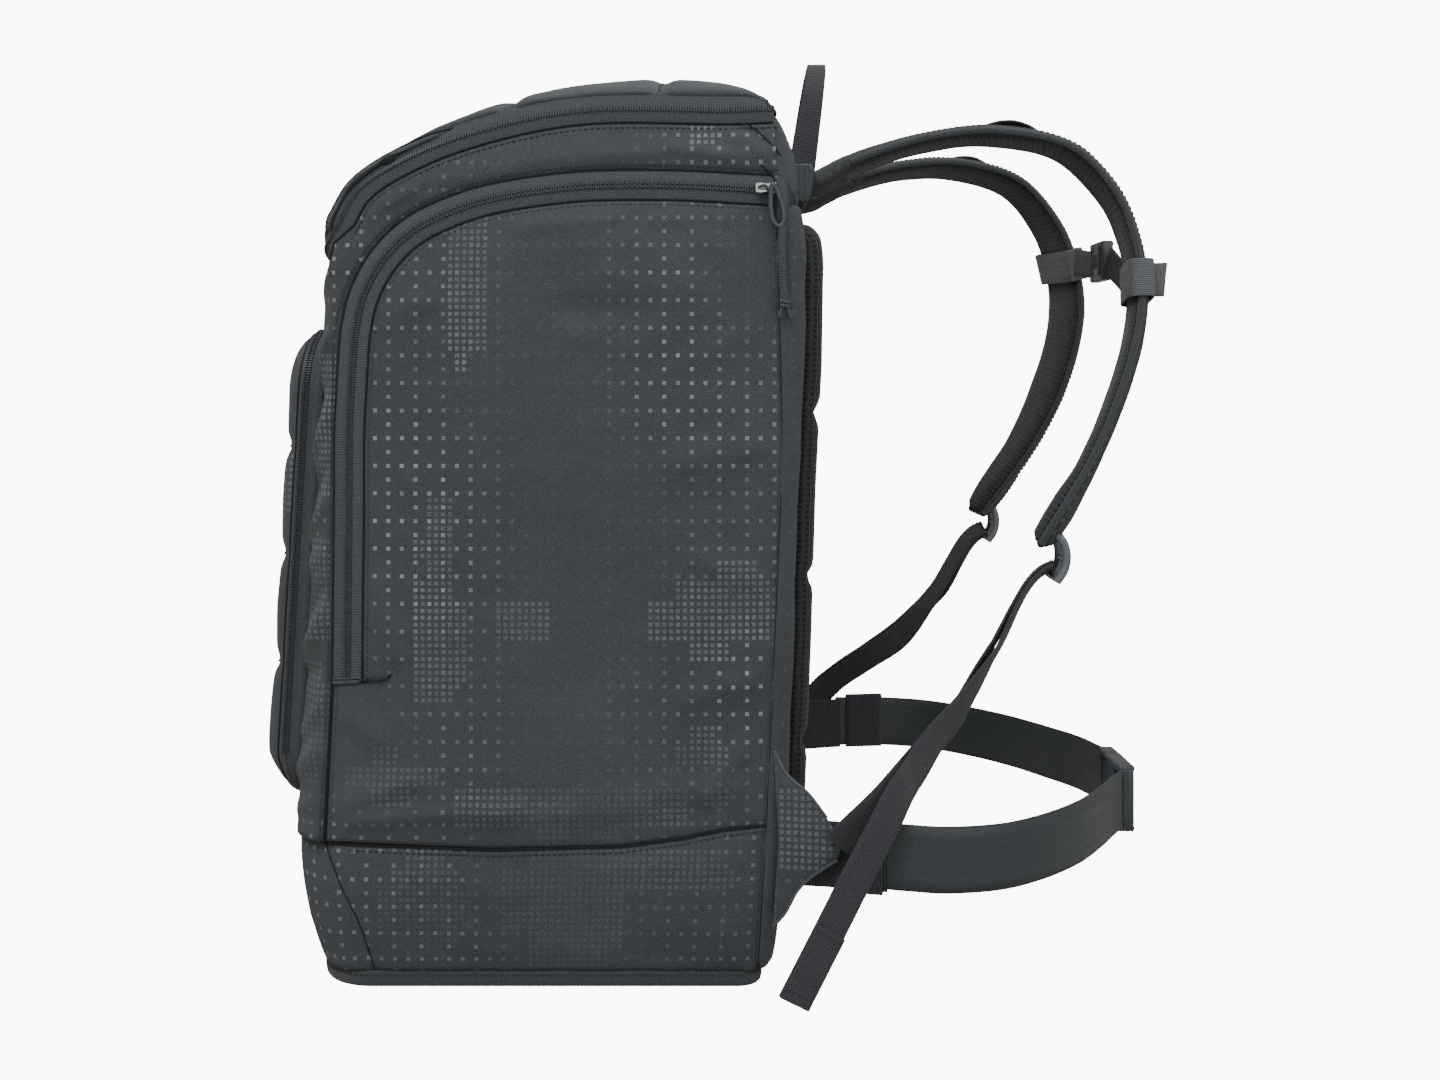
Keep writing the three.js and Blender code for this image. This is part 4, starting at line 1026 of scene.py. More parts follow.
def pocket_at(ring, stand):
    """A ring that stands out from the front, less towards the pocket's foot."""
    foot = np.sqrt(np.clip((ring[:, 1] - 96) / 40, 0, 1))
    return np.column_stack([at(FRONT_FACE, ring[:, 1]) - stand * foot, ring])


def away_from_pocket(p):
    return unit((p - (0, 0, POCKET_MIDDLE)) * (0, 1, 1))


def pocket_wall(rows):
    """Rings round the pocket's side: each row is an inset, a stand and a bulge."""
    rings = [pocket_at(pocket_ring(inset), stand) for inset, stand, _ in rows]
    return np.array([ring + away_from_pocket(ring) * row[2] for ring, row in zip(rings, rows)])


def make_pocket():
    inside = (-150, 0, POCKET_MIDDLE)
    gusset = pocket_wall([(0, 0.4, 0.0), (0, 1.6, 1.0), (0, 4.0, 1.2), (0, 6.5, 0.2)])
    piece = Form().facing(gusset, inside, wrap=True).make("pocket_gusset", [FABRIC_PLAIN, LINING], thick=1.6)
    settle(piece, "bag", "shell_fabric", ("pocket_gusset",))

    inner = pocket_wall([(0, 6.5, 0.2), (0, 8.6, 0.9), (0, 11.0, 1.0)])
    outer = pocket_wall([(0, 11.4, 1.0), (0.2, 14.0, 0.8), (1.2, 16.4, 0.4)])
    coil = np.roll(inner[2], -int(np.argmin(inner[2][:, 2])), axis=0)
    coil = coil[coil[:, 2] > 138]
    for name, tape, shift, body in (("inner", inner, 0.3, "bag"), ("outer", outer, -2.2, "pocket_flap")):
        form = Form().facing(tape, inside, wrap=True)
        coil_teeth(form, coil + (shift, 0, 0), away_from_pocket(coil)[::6], 1.6, 1.2)
        settle(form.make(f"pocket_zip_{name}", [TAPE_MAT, COIL], weld=0), body, "zip_tape")

    rows = []
    for inset in np.concatenate([[1.0, 1.8, 3.0, 4.6, 6.8, 9.5], np.linspace(13, POCKET_DEEPEST, 44)]):
        ring = pocket_ring(inset)
        seam = np.minimum.reduce([np.abs(ring[:, 1] - s) for s in POCKET_SEAMS])
        edge = 1 - math.exp(-inset / 9)
        quilt = edge * (1.4 * (1 - np.exp(-((seam / 24) ** 2))) - 4.2 * np.exp(-((seam / 6.0) ** 2)))
        p = pocket_at(ring, 15.4 + 14.2 * at(POCKET_RISE, inset))
        p[:, 0] -= quilt + ripple(p, 36, 8.8) * 1.2 * edge - 0.6
        rows.append(p)
    p = np.array(rows)
    uv = np.concatenate([p, p[:, :1]], 1)[..., 1:] * MM
    form = Form().facing(p, (0, 0, POCKET_MIDDLE), uv, wrap=True)
    piece = form.make("pocket_flap", [FABRIC, LINING], thick=2.6, weld=0.3)
    settle(piece, "pocket_flap", "shell_fabric", ("pocket_flap",))

    # Thin tubes of painted shadow along the quilting seams and round the flap's edge.
    trim = Form()
    places = p.reshape(-1, 3)
    y = np.linspace(-138, 138, 70)
    for s in POCKET_SEAMS:
        x = np.array([places[np.argmin((places[:, 1] - q) ** 2 + (places[:, 2] - s) ** 2), 0] for q in y])
        trim.tube(tube_along(spaced(np.stack([evened(x, 3), y, np.full(70, s)], 1), 4), 0.8, 6))
    trim.tube(tube_along(np.vstack([p[0], p[0][:1]]), 0.8, 6), caps=False)
    settle(trim.make("pocket_seam_shadows", [SEAM_SHADOW], weld=0), "pocket_flap")


# ---------------------------------------------------------------- base

TUB_FOLDS = [
    (-60, 30, 30, 20, 1.1, 9), (-90, 70, -20, 62, 1.2, 8), (20, 74, 110, 80, 1.3, 9),
    (60, 40, 122, 34, 1.2, 9), (-135, 60, -112, 20, -1.0, 4),
]
TUB_SEAM = [(-137.4, 89), (-127, 65), (-116, 41), (-108, 12)]
TUB_CORNER_X, TUB_CORNER_RUN = -120, 38
TUB_LOW = 10.2
BASE_PROFILE = [
    (-5.6, 1.4), (-4.6, 0.5), (-2.4, 0.15), (-0.8, 0.5), (0.2, 1.6), (0.7, 3.4), (0.8, 5.6), (0.6, 7.6),
    (0.1, 9.2), (-0.8, 10.0), (-2.2, 10.2), (-4.0, 9.6),
]
BASE_CORNERS = [(113, -149.5, 14, -90), (113, 149.5, 14, 0), (-110, 129.5, 34, 90), (-110, -129.5, 34, 180)]


def tub_line(height, x, out=0.0):
    """A line round one half of the base: along its side, round its corner and to the middle of its front."""
    flat = np.stack([x, half_width(height(x)) + out, height(x)], 1)
    turn = np.radians(np.linspace(0, 90, 22))[1:]
    z = height(TUB_CORNER_X - TUB_CORNER_RUN * turn / (math.pi / 2))
    x = TUB_CORNER_X + (at(FRONT_FACE, z) - TUB_CORNER_X) * np.sin(turn)
    corner = np.stack([x, half_width(z) - CORNER * (1 - np.cos(turn)), z], 1)
    front = np.linspace(corner[-1], corner[-1] * (1, 0, 1), 40)[1:]
    return np.vstack([flat, corner, front])


def make_tub():
    form, trim = Form(), Form()
    rows = []
    for share in np.linspace(0, 1, 34) ** 0.9:
        def height(x):
            return TUB_LOW + share * (at(BASE_SEAM, x) - 0.6 - TUB_LOW)

        rows.append(tub_line(height, np.linspace(at(REAR_SEAM, height(130)) - 0.5, TUB_CORNER_X, 84)))
    wall = np.array(rows)
    q = wall[..., [0, 2]]
    edge = np.minimum(wall[..., 2] - 10, wall[-1:, :, 2] - wall[..., 2])
    d = np.clip(np.minimum(edge, np.abs(wall[..., 0] - wall[:, :1, 0])), 0, 60)
    on_flat = np.clip((wall[..., 1] - half_width(wall[..., 2]) + 12) / 6, 0, 1)
    groove = 1.8 * np.exp(-((reach(q, np.array([(-137, 90), *TUB_SEAM[1:]], float)) / 3.4) ** 2))
    folds = creases(q, TUB_FOLDS) * on_flat
    normals = grid_normals(wall) * (1 if oriented(wall, (0, 0, 60)) else -1)
    seam = spline(TUB_SEAM, 3)
    nearest = [int(np.argmin(np.linalg.norm(q.reshape(-1, 2) - place, axis=1))) for place in seam]
    x = np.linspace(at(REAR_SEAM, 100) + 1, TUB_CORNER_X, 90)
    thread = np.stack([x, at(BASE_SEAM, x) - 3.6], 1)
    for _, side in SIDES:
        wave = ripple(wall, 44, 6.3 * side) * 1.5 * np.clip(wall[..., 1] / 30, 0, 1)
        out = puff(d, 2.6, 12, 1.1, 2.6) - on_flat * groove + np.clip(d / 12, 0, 1) * (wave + folds)
        p = wall + normals * out[..., None]
        uv = np.stack([0.125 - measured(p)[..., 0], p[..., 2] * MM], -1)
        form.facing(p * (1, side, 1), (0, 0, 60), uv)
        y = evened(p[..., 1].reshape(-1)[nearest], 2)
        # Thin tubes of painted shadow along the tub's front seam and the base seam.
        trim.tube(tube_along(lifted(seam, side * (y + 0.2)), 0.5))
        line = tub_line(lambda x: at(BASE_SEAM, x) - 0.2, x, 0.1)
        trim.tube(tube_along(spaced(mirrored(line, side), 4), 0.55))
        stitches(trim, on_side(thread, side, 0.9), outwards(side), 1)
    piece = form.make("base_tub", [FABRIC_TUB, LINING], weld=0.5, thick=2.4)
    settle(piece, "bag", "shell_fabric", ("base_tub",))
    settle(trim.make("base_seam_shadows_and_stitches", [SEAM_SHADOW, THREAD], weld=0), "bag")


def base_ring(grow, z):
    """A level ring round the base, some way outside its edge."""
    corners = [(x, y, radius + grow, start) for x, y, radius, start in BASE_CORNERS]
    return np.column_stack([corner_ring(corners, 16, 360), np.full(360, z)])


def make_base():
    form = Form().facing([base_ring(grow, z) for grow, z in BASE_PROFILE], (0, 0, 5), wrap=True)
    settle(form.make("base_binding", [BINDING], weld=0), "bag", "webbing", ("base_binding",))
    trim = Form()
    ring = base_ring(0.95, 8.0)
    stitches(trim, np.vstack([ring, ring[:1]]), unit(ring * (1, 1, 0))[::12])
    settle(trim.make("base_stitching", [THREAD], weld=0), "bag")
    edge = base_ring(-5.2, 0.6)
    middle = np.array((-8.5, 0, 1.1))
    p = np.array([between(middle, edge, s) for s in (1.0, 0.97, 0.9, 0.75, 0.5, 0.25, 0.02)])
    uv = np.concatenate([p, p[:, :1]], 1)[..., :2] * MM
    piece = Form().facing(p, (0, 0, 5), uv, wrap=True).make("base_floor", [FABRIC_PLAIN], thick=2.0)
    settle(piece, "bag", "shell_fabric", ("base_panel",))


# ---------------------------------------------------------------- back and inside

BACK_MIDDLE = (0, 0, 300)
BACK_PARTS = (
    ("back_lower", 11, 478.2, 96, "back_panel", 1.1),
    ("back_top", 477.8, 529.5, 16, "top_rear_panel", 4.2),
)
BACK_SLOPE = [
    (112, 171.8, 524.0), (121, 172.2, 521.5), (131, 172.0, 513), (138.5, 170.4, 504.5), (145.5, 164.6, 496.5),
]
BACK_TRIMS = (
    (BACK_SLOPE, 3, 0.45),
    ([(126, 171.6, 499), (131, 171.2, 495), (135, 170.4, 490.5)], 2, 0.4),
    ([(141, 168.6, 457.6), (147, 164.6, 459), (152.6, 157.4, 462.6)], 2, 0.4),
)


def back_section(z):
    """Points across the back at height z, from the right seam to the left."""
    radius = 12
    seam, face = at(REAR_SEAM, z) + 0.6, at(BACK_FACE, z)
    turn = np.radians(np.linspace(0, 90, 10))
    y = radius * (1 - np.cos(turn)) - half_width(z)
    corner = np.stack([seam + (face - seam) * np.sin(turn), y, np.full(10, z)], 1)
    flat = np.linspace(corner[-1], corner[-1] * (1, 0, 1), 26)[1:]
    half = np.vstack([[(seam - 2.5, 1.5 - half_width(z), z)], corner, flat])
    return np.vstack([half, half[-2::-1] * (1, -1, 1)])


def make_back():
    for name, low, high, count, node, seed in BACK_PARTS:
        z = np.linspace(low, high, count)
        p = np.array([back_section(h) for h in z])
        ends = np.minimum(np.minimum(z - low, high - z)[:, None], 60)
        sides = (half_width(p[..., 2]) + 1 - np.abs(p[..., 1])) + np.abs(p[..., 0] - p[:, :1, 0])
        d = np.minimum(ends, sides)
        out = puff(d, 1.8, 7, 1.4, 2.4) + ripple(p, 26, seed) * 0.9 * np.clip(d / 8, 0, 1)
        p = p + grid_normals(p) * (1 if oriented(p, BACK_MIDDLE) else -1) * out[..., None]
        piece = skin(name, p, None, [FABRIC_PLAIN, LINING], BACK_MIDDLE, 2.2)
        settle(piece, "bag", "shell_fabric", (node,))
    # Thin tubes of painted shadow along the rear seams, the top slopes and across the back.
    trim = Form()
    z = np.linspace(12, 490, 160)
    seam = np.stack([at(REAR_SEAM, z) + 0.2, z], 1)
    for _, side in SIDES:
        trim.tube(tube_along(on_side(seam, side, -0.2), 0.6))
        for points, step, radius in BACK_TRIMS:
            trim.tube(tube_along(spline(mirrored(points, side), step), radius))
    trim.tube(tube_along(back_section(478), 0.45, 6))
    settle(trim.make("back_seam_shadows", [SEAM_SHADOW], weld=0), "bag")


def make_back_pad():
    half, low, high, radius = 120, 32.5, 470.5, 16.0
    y = np.concatenate([np.linspace(-half, -106, 9), np.linspace(-103, 103, 58), np.linspace(106, half, 9)])
    z = np.concatenate([np.linspace(low, 48, 12), np.linspace(52, 452, 86), np.linspace(455, high, 12)])
    y, z = np.meshgrid(y, z)
    from_side, from_end = half - np.abs(y), np.minimum(z - low, high - z)
    in_corner = (from_side < radius) & (from_end < radius)
    to_arc = np.hypot(np.maximum(radius - from_side, 0), np.maximum(radius - from_end, 0))
    d = np.where(in_corner, radius - to_arc, np.minimum(from_side, from_end))
    tuck = np.where(in_corner, np.minimum(d, 0) * 0.7, 0)
    middle = (low + high) / 2
    d = np.clip(d, 0, 60)
    edge = np.clip(d / 12, 0, 1)
    rise = 13.6 * np.sqrt(1 - (1 - np.clip(d / 13, 0, 1)) ** 2) - 6.0 * np.exp(-((y / 15) ** 4)) * edge
    z2 = z + np.sign(z - middle) * tuck
    for level in (130, 235, 340):
        groove = np.exp(-(((z - level - 10 * (y / half) ** 2) / 5.0) ** 2))
        rise -= 4.6 * groove * edge * np.clip((np.abs(y) - 14) / 8, 0, 1)
    p = np.stack([at(BACK_FACE, z2) + 2.2 + rise, y + np.sign(y) * tuck, z2], -1)
    piece = skin("back_pad", p, p[..., 1:] * MM, [MESH, LINING], (100, 0, 250), 2.0)
    settle(piece, "bag", "spacer_mesh", ("back_pad",))
    trim = Form()
    border = np.vstack([p[0], p[1:, -1], p[-1, ::-1][1:], p[::-1, 0][1:]])
    trim.tube(tube_along(border + (-0.6, 0, 0), 1.5), caps=False)
    settle(trim.make("back_pad_binding", [BINDING], weld=0), "bag", "webbing")


def make_inside(name, side):
    """The divider between the main compartment and the boot on one side."""
    left = spaced([(-130, 16), (-128, 380), (-95, 440)], 8)
    right = spaced([(118, 16), (124, 140), (132, 327), (128, 470)], 8)
    q = patch(left, right, [left[-1], right[-1]], [left[0], right[0]], 40, 60)
    p = lifted(q, side * (57.6 + ripple(q, 80, side * 2.0) * 1.6))
    piece = skin(f"divider_{name}", p, q * MM, [LINING], (0, 0, 250), 1.2)
    settle(piece, "bag", "lining_fabric", (f"boot_divider_{name}",))


# ---------------------------------------------------------------- shoulder straps

PAD_PATH = [
    (183.5, 55.6, 510.4), (193, 58, 515), (238, 68, 528), (284, 80, 530.5), (329, 90, 518), (357, 96, 487),
    (368, 98, 460), (373, 100, 430), (370, 102, 398), (357, 106, 356), (339, 112, 317), (323, 116, 291),
    (312, 118.4, 274), (306.5, 118.2, 265),
]
PAD_WIDTHS = [(0, 52), (0.06, 57), (0.2, 60), (0.75, 60), (0.95, 37), (1, 28)]
PAD_TURN = [(0, 0), (0.4, 4), (0.6, 10), (1, 12)]
ROOT_PATH = [(152, 54, 498.5), (162, 54, 501), (172, 54, 504.5), (184, 55.5, 511), (204, 60, 519)]
ROOT_WIDTHS = [(0, 52), (0.3, 55), (1, 53)]
ROOT_DEPTHS = [(0, 9), (0.4, 13.5), (0.8, 12), (1, 7)]
ADJUSTER_PATH = [
    (312.5, 121, 252), (305, 121.5, 248.5), (297.5, 122, 241), (289.5, 122.2, 228), (276, 124.6, 204),
    (267, 129.5, 189.5), (248, 145, 161), (223, 164, 140), (199, 184.2, 119), (184, 184, 104.5),
    (172, 181.6, 92),
]
TAIL_START = [
    (312.5, 121.6, 249.8), (306, 122, 246.4), (299.2, 122.3, 239.6), (291.8, 122.6, 227.4), (280, 126.5, 204),
]
TAIL_RIGHT = TAIL_START + [
    (270, 135, 190.5), (248, 152, 165.5), (232, 164, 151), (218.5, 176, 135), (207.7, 187, 123),
    (198, 194, 107), (179.4, 202, 75), (166, 207, 51), (144, 213, 11),
]
TAIL_LEFT = TAIL_START + [
    (269, 136, 189.5), (248, 152, 163), (226, 170, 142), (204, 187, 123), (186, 194, 106), (172, 199, 82),
    (164, 202, 56), (160, 204, 24),
]
WEBBING_TURN = [(200, 78), (242, 58), (275, 21)]
LOOP_PATH = [
    (276, 77.8, 536.4), (281, 79, 538.2), (288, 80.5, 539.2), (296, 82.5, 538.6), (304, 84.8, 535.4),
    (310, 86.4, 531.6),
]
STERNUM = {
    "right": ((372.8, 100, 432), (0.4, -2, -30), 27),
    "left": ((368.6, 98.3, 458), (7, 2, -29), 15),
}
STERNUM_BAND = [(-12, -0.9), (-11.6, 0), (-6, 0.2), (0, 0.15), (6, 0.2), (11.6, 0), (12, -0.9)]
STERNUM_END = [
    (380, -103, 434), (386, -103, 434), (390.6, -100.5, 434.4), (390.8, -97, 434.6), (386, -94.5, 434.4),
    (380, -94.5, 434),
]


def pad_shape(line, across, up):
    """The pad's upper and lower faces, as rows of points across it."""
    t, s = np.linspace(0, 1, len(line))[:, None], np.linspace(-1, 1, 25)
    half = at(PAD_WIDTHS, t) / 2 - 1.0
    ends = np.minimum(1.0, np.sqrt(np.maximum(1 - t, 0) / 0.02) + 0.45)
    ends = ends + 0.3 * np.exp(-((t / 0.08) ** 2)) + 0.4 * np.exp(-(((t - 0.95) / 0.06) ** 2))
    swell = np.maximum(1 - np.abs(s) ** 5, 0) ** 0.6
    height = 4.9 * ends * swell * at([(0.5, 1), (0.75, 1.18)], t) + 0.35
    groove = np.exp(-(((np.abs(s) * half - 15) / 1.8) ** 2)) * np.where(t > 0.62, 1.6, 0.9) * (half > 20)
    flat = line[:, None] + across[:, None] * (s * half)[..., None]
    return flat + up[:, None] * (height - groove)[..., None], flat - up[:, None] * height[..., None]


def make_pad(name, side):
    """A padded strap: fabric above and mesh below, with a bound edge and rows of stitches."""
    body = f"shoulder_{name}"
    line = spline(mirrored(PAD_PATH, side), 4)
    _, across, up = frames(line, turned_width(line, lambda t, p: -side * at(PAD_TURN, t)))
    up = up * np.sign(up[len(line) // 3, 2])
    top, under = pad_shape(line, across, up)

    def face(key, p, outward, seed, material, slot, nodes=()):
        p = p + up[:, None] * (ripple(p, 22, seed) * 0.35)[..., None]
        flip = float((grid_normals(p) * outward[:, None]).sum()) < 0
        piece = Form().grid(p, flip=flip).make(f"strap_{key}_{name}", [material], thick=1.0)
        settle(piece, body, slot, nodes)
        return p

    shown = face("top", top, up, 3.3 * side + 1, FABRIC_PAD, "shell_fabric", (f"shoulder_pad_{name}",))
    face("under", under, -up, 3.3 * side, MESH_LIGHT, "spacer_mesh")
    edge = Form()
    middle = (top + under) / 2
    for k, out in ((0, -0.2), (-1, 0.2)):
        edge.tube(tube_along((middle[:, k] + across * out)[3:], 2.5, 10))
    edge.tube(tube_along(middle[-1, ::2], 2.6, 10))
    settle(edge.make(f"strap_binding_{name}", [BINDING], weld=0), body, "webbing")
    thread = Form()
    for k in (2, 22):
        stitches(thread, shown[:, k] + up * 0.25, up[::6])
    beside_groove = np.minimum(15, at(PAD_WIDTHS, np.linspace(0, 1, len(line))[:, None]) / 2 - 3)
    for way in (-1, 1):
        row = line + across * way * beside_groove + up * 4.2
        stitches(thread, row[int(len(line) * 0.12) : int(len(line) * 0.9)], up[::6])
    settle(thread.make(f"strap_stitching_{name}", [THREAD], weld=0), body)


def make_root(name, side):
    """The end of a strap that is sewn into the yoke."""

    def section_at(t):
        return flat_section(at(ROOT_WIDTHS, t), at(ROOT_DEPTHS, t), 0.9)

    rings = strap(spline(mirrored(ROOT_PATH, side), 3), ACROSS, section_at)
    piece = Form().tube(rings).make(f"strap_root_{name}", [FABRIC_PAD], weld=0.01)
    bend = bend_between("bag", f"shoulder_{name}", (162, side * 54, 501), (188, side * 56, 513))
    settle(piece, None, "shell_fabric", (), bend)


def ribbed(name, body, line, wide, width, thick, material=WEBBING, nodes=(), hem=0, bend=None):
    """A webbing strap along a line, with a folded hem at its last end if asked."""
    section = flat_section(width, thick)
    form = Form().tube(strap(line, wide, section), uv=strap_uv(line, section))
    if hem:
        _, across, up = frames(line, wide)
        run = run_along(line)
        keep = run > run[-1] - hem
        tail = line[keep] + up[keep] * (thick + 0.25)
        form.tube(strap(tail, wide[keep], section), uv=strap_uv(tail, section))
        thread = Form()
        places = np.linspace(2 - width / 2, width / 2 - 2, 12)[:, None]
        for back in (6, 14, hem - 5):
            i = int(np.argmin(np.abs(run - (run[-1] - back))))
            stitches(thread, line[i] + across[i] * places + up[i] * (thick * 1.5 + 0.3), up[i : i + 2])
        settle(thread.make(f"{name}_stitching", [THREAD], weld=0), body)
    settle(form.make(name, [material], weld=0.01), body, "webbing", nodes, bend)


def make_webbing(name, side):
    """The adjuster below a shoulder strap, its loose tail and the small loop on top of the strap."""

    def turn_at(t, p):
        return -side * at(WEBBING_TURN, p[0])

    body = f"shoulder_{name}"
    line = spline(mirrored(ADJUSTER_PATH, side), 3)
    bend = bend_between("bag", body, (184, side * 184, 104.5), (290, side * 122, 233))
    nodes = (f"adjuster_webbing_{name}",)
    ribbed(f"adjuster_{name}", body, line, turned_width(line, turn_at), 20, 1.7, nodes=nodes, bend=bend)
    line = spline(mirrored(TAIL_RIGHT if side < 0 else TAIL_LEFT, side), 3)
    nodes = (f"webbing_tail_{name}",)
    ribbed(f"tail_{name}", body, line, turned_width(line, turn_at), 20, 1.7, nodes=nodes, hem=46)
    line = spline(mirrored(LOOP_PATH, side), 2)
    wide = turned_width(line, lambda t, p: -side * 2)
    ribbed(f"strap_loop_{name}", body, line, wide, 20, 1.5, nodes=(f"strap_loop_{name}",))


def make_sternum(name, side):
    """The band on a shoulder strap, and the webbing from it to the sternum buckle."""
    (x, y, z), along, end = STERNUM[name]
    body = f"shoulder_{name}"
    centre, tangent = np.array((x, side * y, z)), unit(np.array(along, float))
    w = np.array((-side * 0.17, 1.0, 0))
    w = unit(w - tangent * (w @ tangent))
    ring = closed_band(centre, w, np.cross(tangent, w), 33.0, 8.9, (0.35, 0.55), 72)
    rows = [ring + tangent * h + unit(ring - centre) * out for h, out in STERNUM_BAND]
    form = Form().facing(rows, centre, wrap=True)
    piece = form.make(f"sternum_band_{name}", [BAND], weld=0, thick=1.0)
    settle(piece, body, "webbing", (f"sternum_band_{name}",))
    path = [(x + 3, side * (y - 31.5), z + 1), (376, side * 45, (z + 453) / 2), (373, side * end, 453)]
    ribbed(f"sternum_webbing_{name}", body, spline(path, 2), UP, 20, 1.5, nodes=(f"sternum_strap_{name}",))
    if side < 0:
        ribbed("sternum_loop_end", body, spline(STERNUM_END, 1.5), UP + FORE_AFT * 0.1, 22, 1.5, BAND)


# ---------------------------------------------------------------- hardware

LOCK_PROFILE = [(315, 271), (318.4, 265.5), (319.8, 257.5), (318.2, 249.5), (313.3, 242)]
LOCK_HALF = 11.4
LOCK_Y = 121
LOCK_BARS = ((0.04, 2.3), (0.52, 1.9), (0.96, 2.7))
STRAP_END_LOOP = [(304, 273.5), (310, 275), (315.4, 273), (316.2, 269.4), (311.5, 266.8), (304, 267.5)]
CORD_ROUTE = [
    (139.6, 177.6, 461.2), (139.2, 177.4, 452), (139.4, 176.8, 440), (140, 176, 428), (140.8, 175.4, 416),
]
KNOT_TURNS = 2.2
DOWN = (0, 0, -1)
PULLS = [
    ("lid", (-142.4, 0, 443.4), (0, 1, 0), (-1, 0, 0), (-147, 0, 444.6), (0, 1, 0)),
    ("pocket", (-169, 149.4, 150), (0.0568, 0, 0.998), (0, 1, 0), (-169, 153.8, 147.4), (1, 0, 0)),
]
GARAGE_EDGES = (
    [(135.5, 463), (134.5, 478), (134.0, 493)], [(148.5, 466), (150.5, 479), (148.0, 490)],
    [(134.0, 493), (141, 494), (148.0, 490)], [(135.5, 463), (142, 462), (148.5, 466)],
)


def rounded_box(form, centre, sizes, radius):
    """A box with rounded edges: the points of a ball, each moved out to its own corner of the box."""
    half = np.maximum(np.array(sizes) / 2 - radius, 0.01)
    lat, lon = np.radians(np.meshgrid(np.linspace(-90, 90, 10), 7.5 + 15 * np.arange(24), indexing="ij"))
    ball = np.stack([np.cos(lat) * np.cos(lon), np.cos(lat) * np.sin(lon), np.sin(lat)], -1)
    p = centre + np.sign(np.stack([np.cos(lon), np.sin(lon), lat], -1)) * half + ball * radius
    form.facing(p, centre, wrap=True)
    form.polygon(p[0])
    form.polygon(p[-1])


def make_ladder_lock(name, side):
    """A ladder lock: two curved rails joined by three bars, with a ribbed tongue below the middle bar."""
    body, middle = f"shoulder_{name}", side * LOCK_Y
    form = Form()
    profile = spline(LOCK_PROFILE, 1.2)
    for q in (-LOCK_HALF, LOCK_HALF):
        form.tube(tube_along(lifted(profile, middle + q), 2.2, 12, 1.25))
    for place, radius in LOCK_BARS:
        x, z = profile[int(place * (len(profile) - 1))]
        ends = np.array([(x, middle + q, z) for q in (-LOCK_HALF, LOCK_HALF)])
        form.tube(tube_along(np.linspace(ends[0], ends[1], 6), radius, 10))
    tongue = profile[len(profile) // 2 :]
    for q in (-6, -2, 2, 6):
        form.tube(tube_along(lifted(tongue, middle + q) + (1.2, 0, 0), 0.9, 6))
    form.tube(strap(lifted(tongue, middle), ACROSS, flat_section(21, 1.8)))
    piece = form.make(f"ladder_lock_{name}", [LOCK_PLASTIC], weld=0)
    settle(piece, body, "moulded_plastic", (f"ladder_lock_{name}",))
    loop, section = lifted(spline(STRAP_END_LOOP, 1.5), middle), flat_section(18.5, 1.4)
    fold = Form().tube(strap(loop, ACROSS, section), uv=strap_uv(loop, section))
    settle(fold.make(f"strap_end_loop_{name}", [WEBBING], weld=0), body, "webbing")


def make_socket(name, c, tall, thick, long, body):
    """A side-release buckle's socket, with a rounded mouth and windows."""
    form = Form()
    for sign in (-1, 1):
        rounded_box(form, c + (0, -long * 0.5, sign * (tall / 2 - 2.4)), (thick - 0.6, long * 0.98, 4.4), 1.9)
        rounded_box(form, c + (sign * (thick / 2 - 1.3), -long * 0.42, 0), (2.2, long * 0.56, tall - 6), 1.0)
        for row in range(4):
            place = (sign * (thick / 2 - 0.3), -long * (0.24 + 0.1 * row), 0)
            rounded_box(form, c + place, (0.8, 1.1, tall - 18), 0.35)
    rounded_box(form, c + (-0.6, -long * 0.82, 0), (1.8, long * 0.34, tall - 6), 0.8)
    for y, depth in ((-long * 0.97, 0.9), (-long * 0.76, 0.75), (-long * 0.66, 1.0)):
        rounded_box(form, c + (0, y, 0), ((thick - 1.0) * depth, 3.0, tall - 5), 1.2)
    settle(form.make(name, [PLASTIC], weld=0), body, "moulded_plastic", (name,))


def make_plug(name, c, tall, thick, long, body):
    """A side-release buckle's plug, with two prongs."""
    form = Form()
    top = tall / 2
    section = flat_section(max(thick - 8.5, 2.0), 3.6)
    prong = [(0, 0.6, top - 6.5)]
    prong += [(0, -long * share, top - drop) for share, drop in ((0.2, 7.6), (0.36, 6.2), (0.42, 8.2))]
    for sign in (-1, 1):
        rounded_box(form, c + (0, long * 0.22, sign * (top - 2.6)), (thick - 1.8, long * 0.42, 5.0), 1.9)
        form.tube(strap(c + spline(prong, 1.2) * (1, 1, sign), FORE_AFT, section))
    rounded_box(form, c + (-0.6, long * 0.24, 0), (1.8, long * 0.34, tall - 7), 0.8)
    for y, depth in ((long * 0.06, 1.0), (long * 0.23, 0.62), (long * 0.41, 0.85)):
        rounded_box(form, c + (0, y, 0), ((thick - 2.0) * depth, 3.2, tall - 6), 1.25)
    settle(form.make(name, [PLASTIC], weld=0), body, "moulded_plastic", (name,))


def make_buckle(prefix, centre, sizes, bodies):
    c = np.array(centre, float)
    make_socket(f"{prefix}_socket", c, *sizes, bodies[0])
    make_plug(f"{prefix}_plug", c, *sizes, bodies[1])


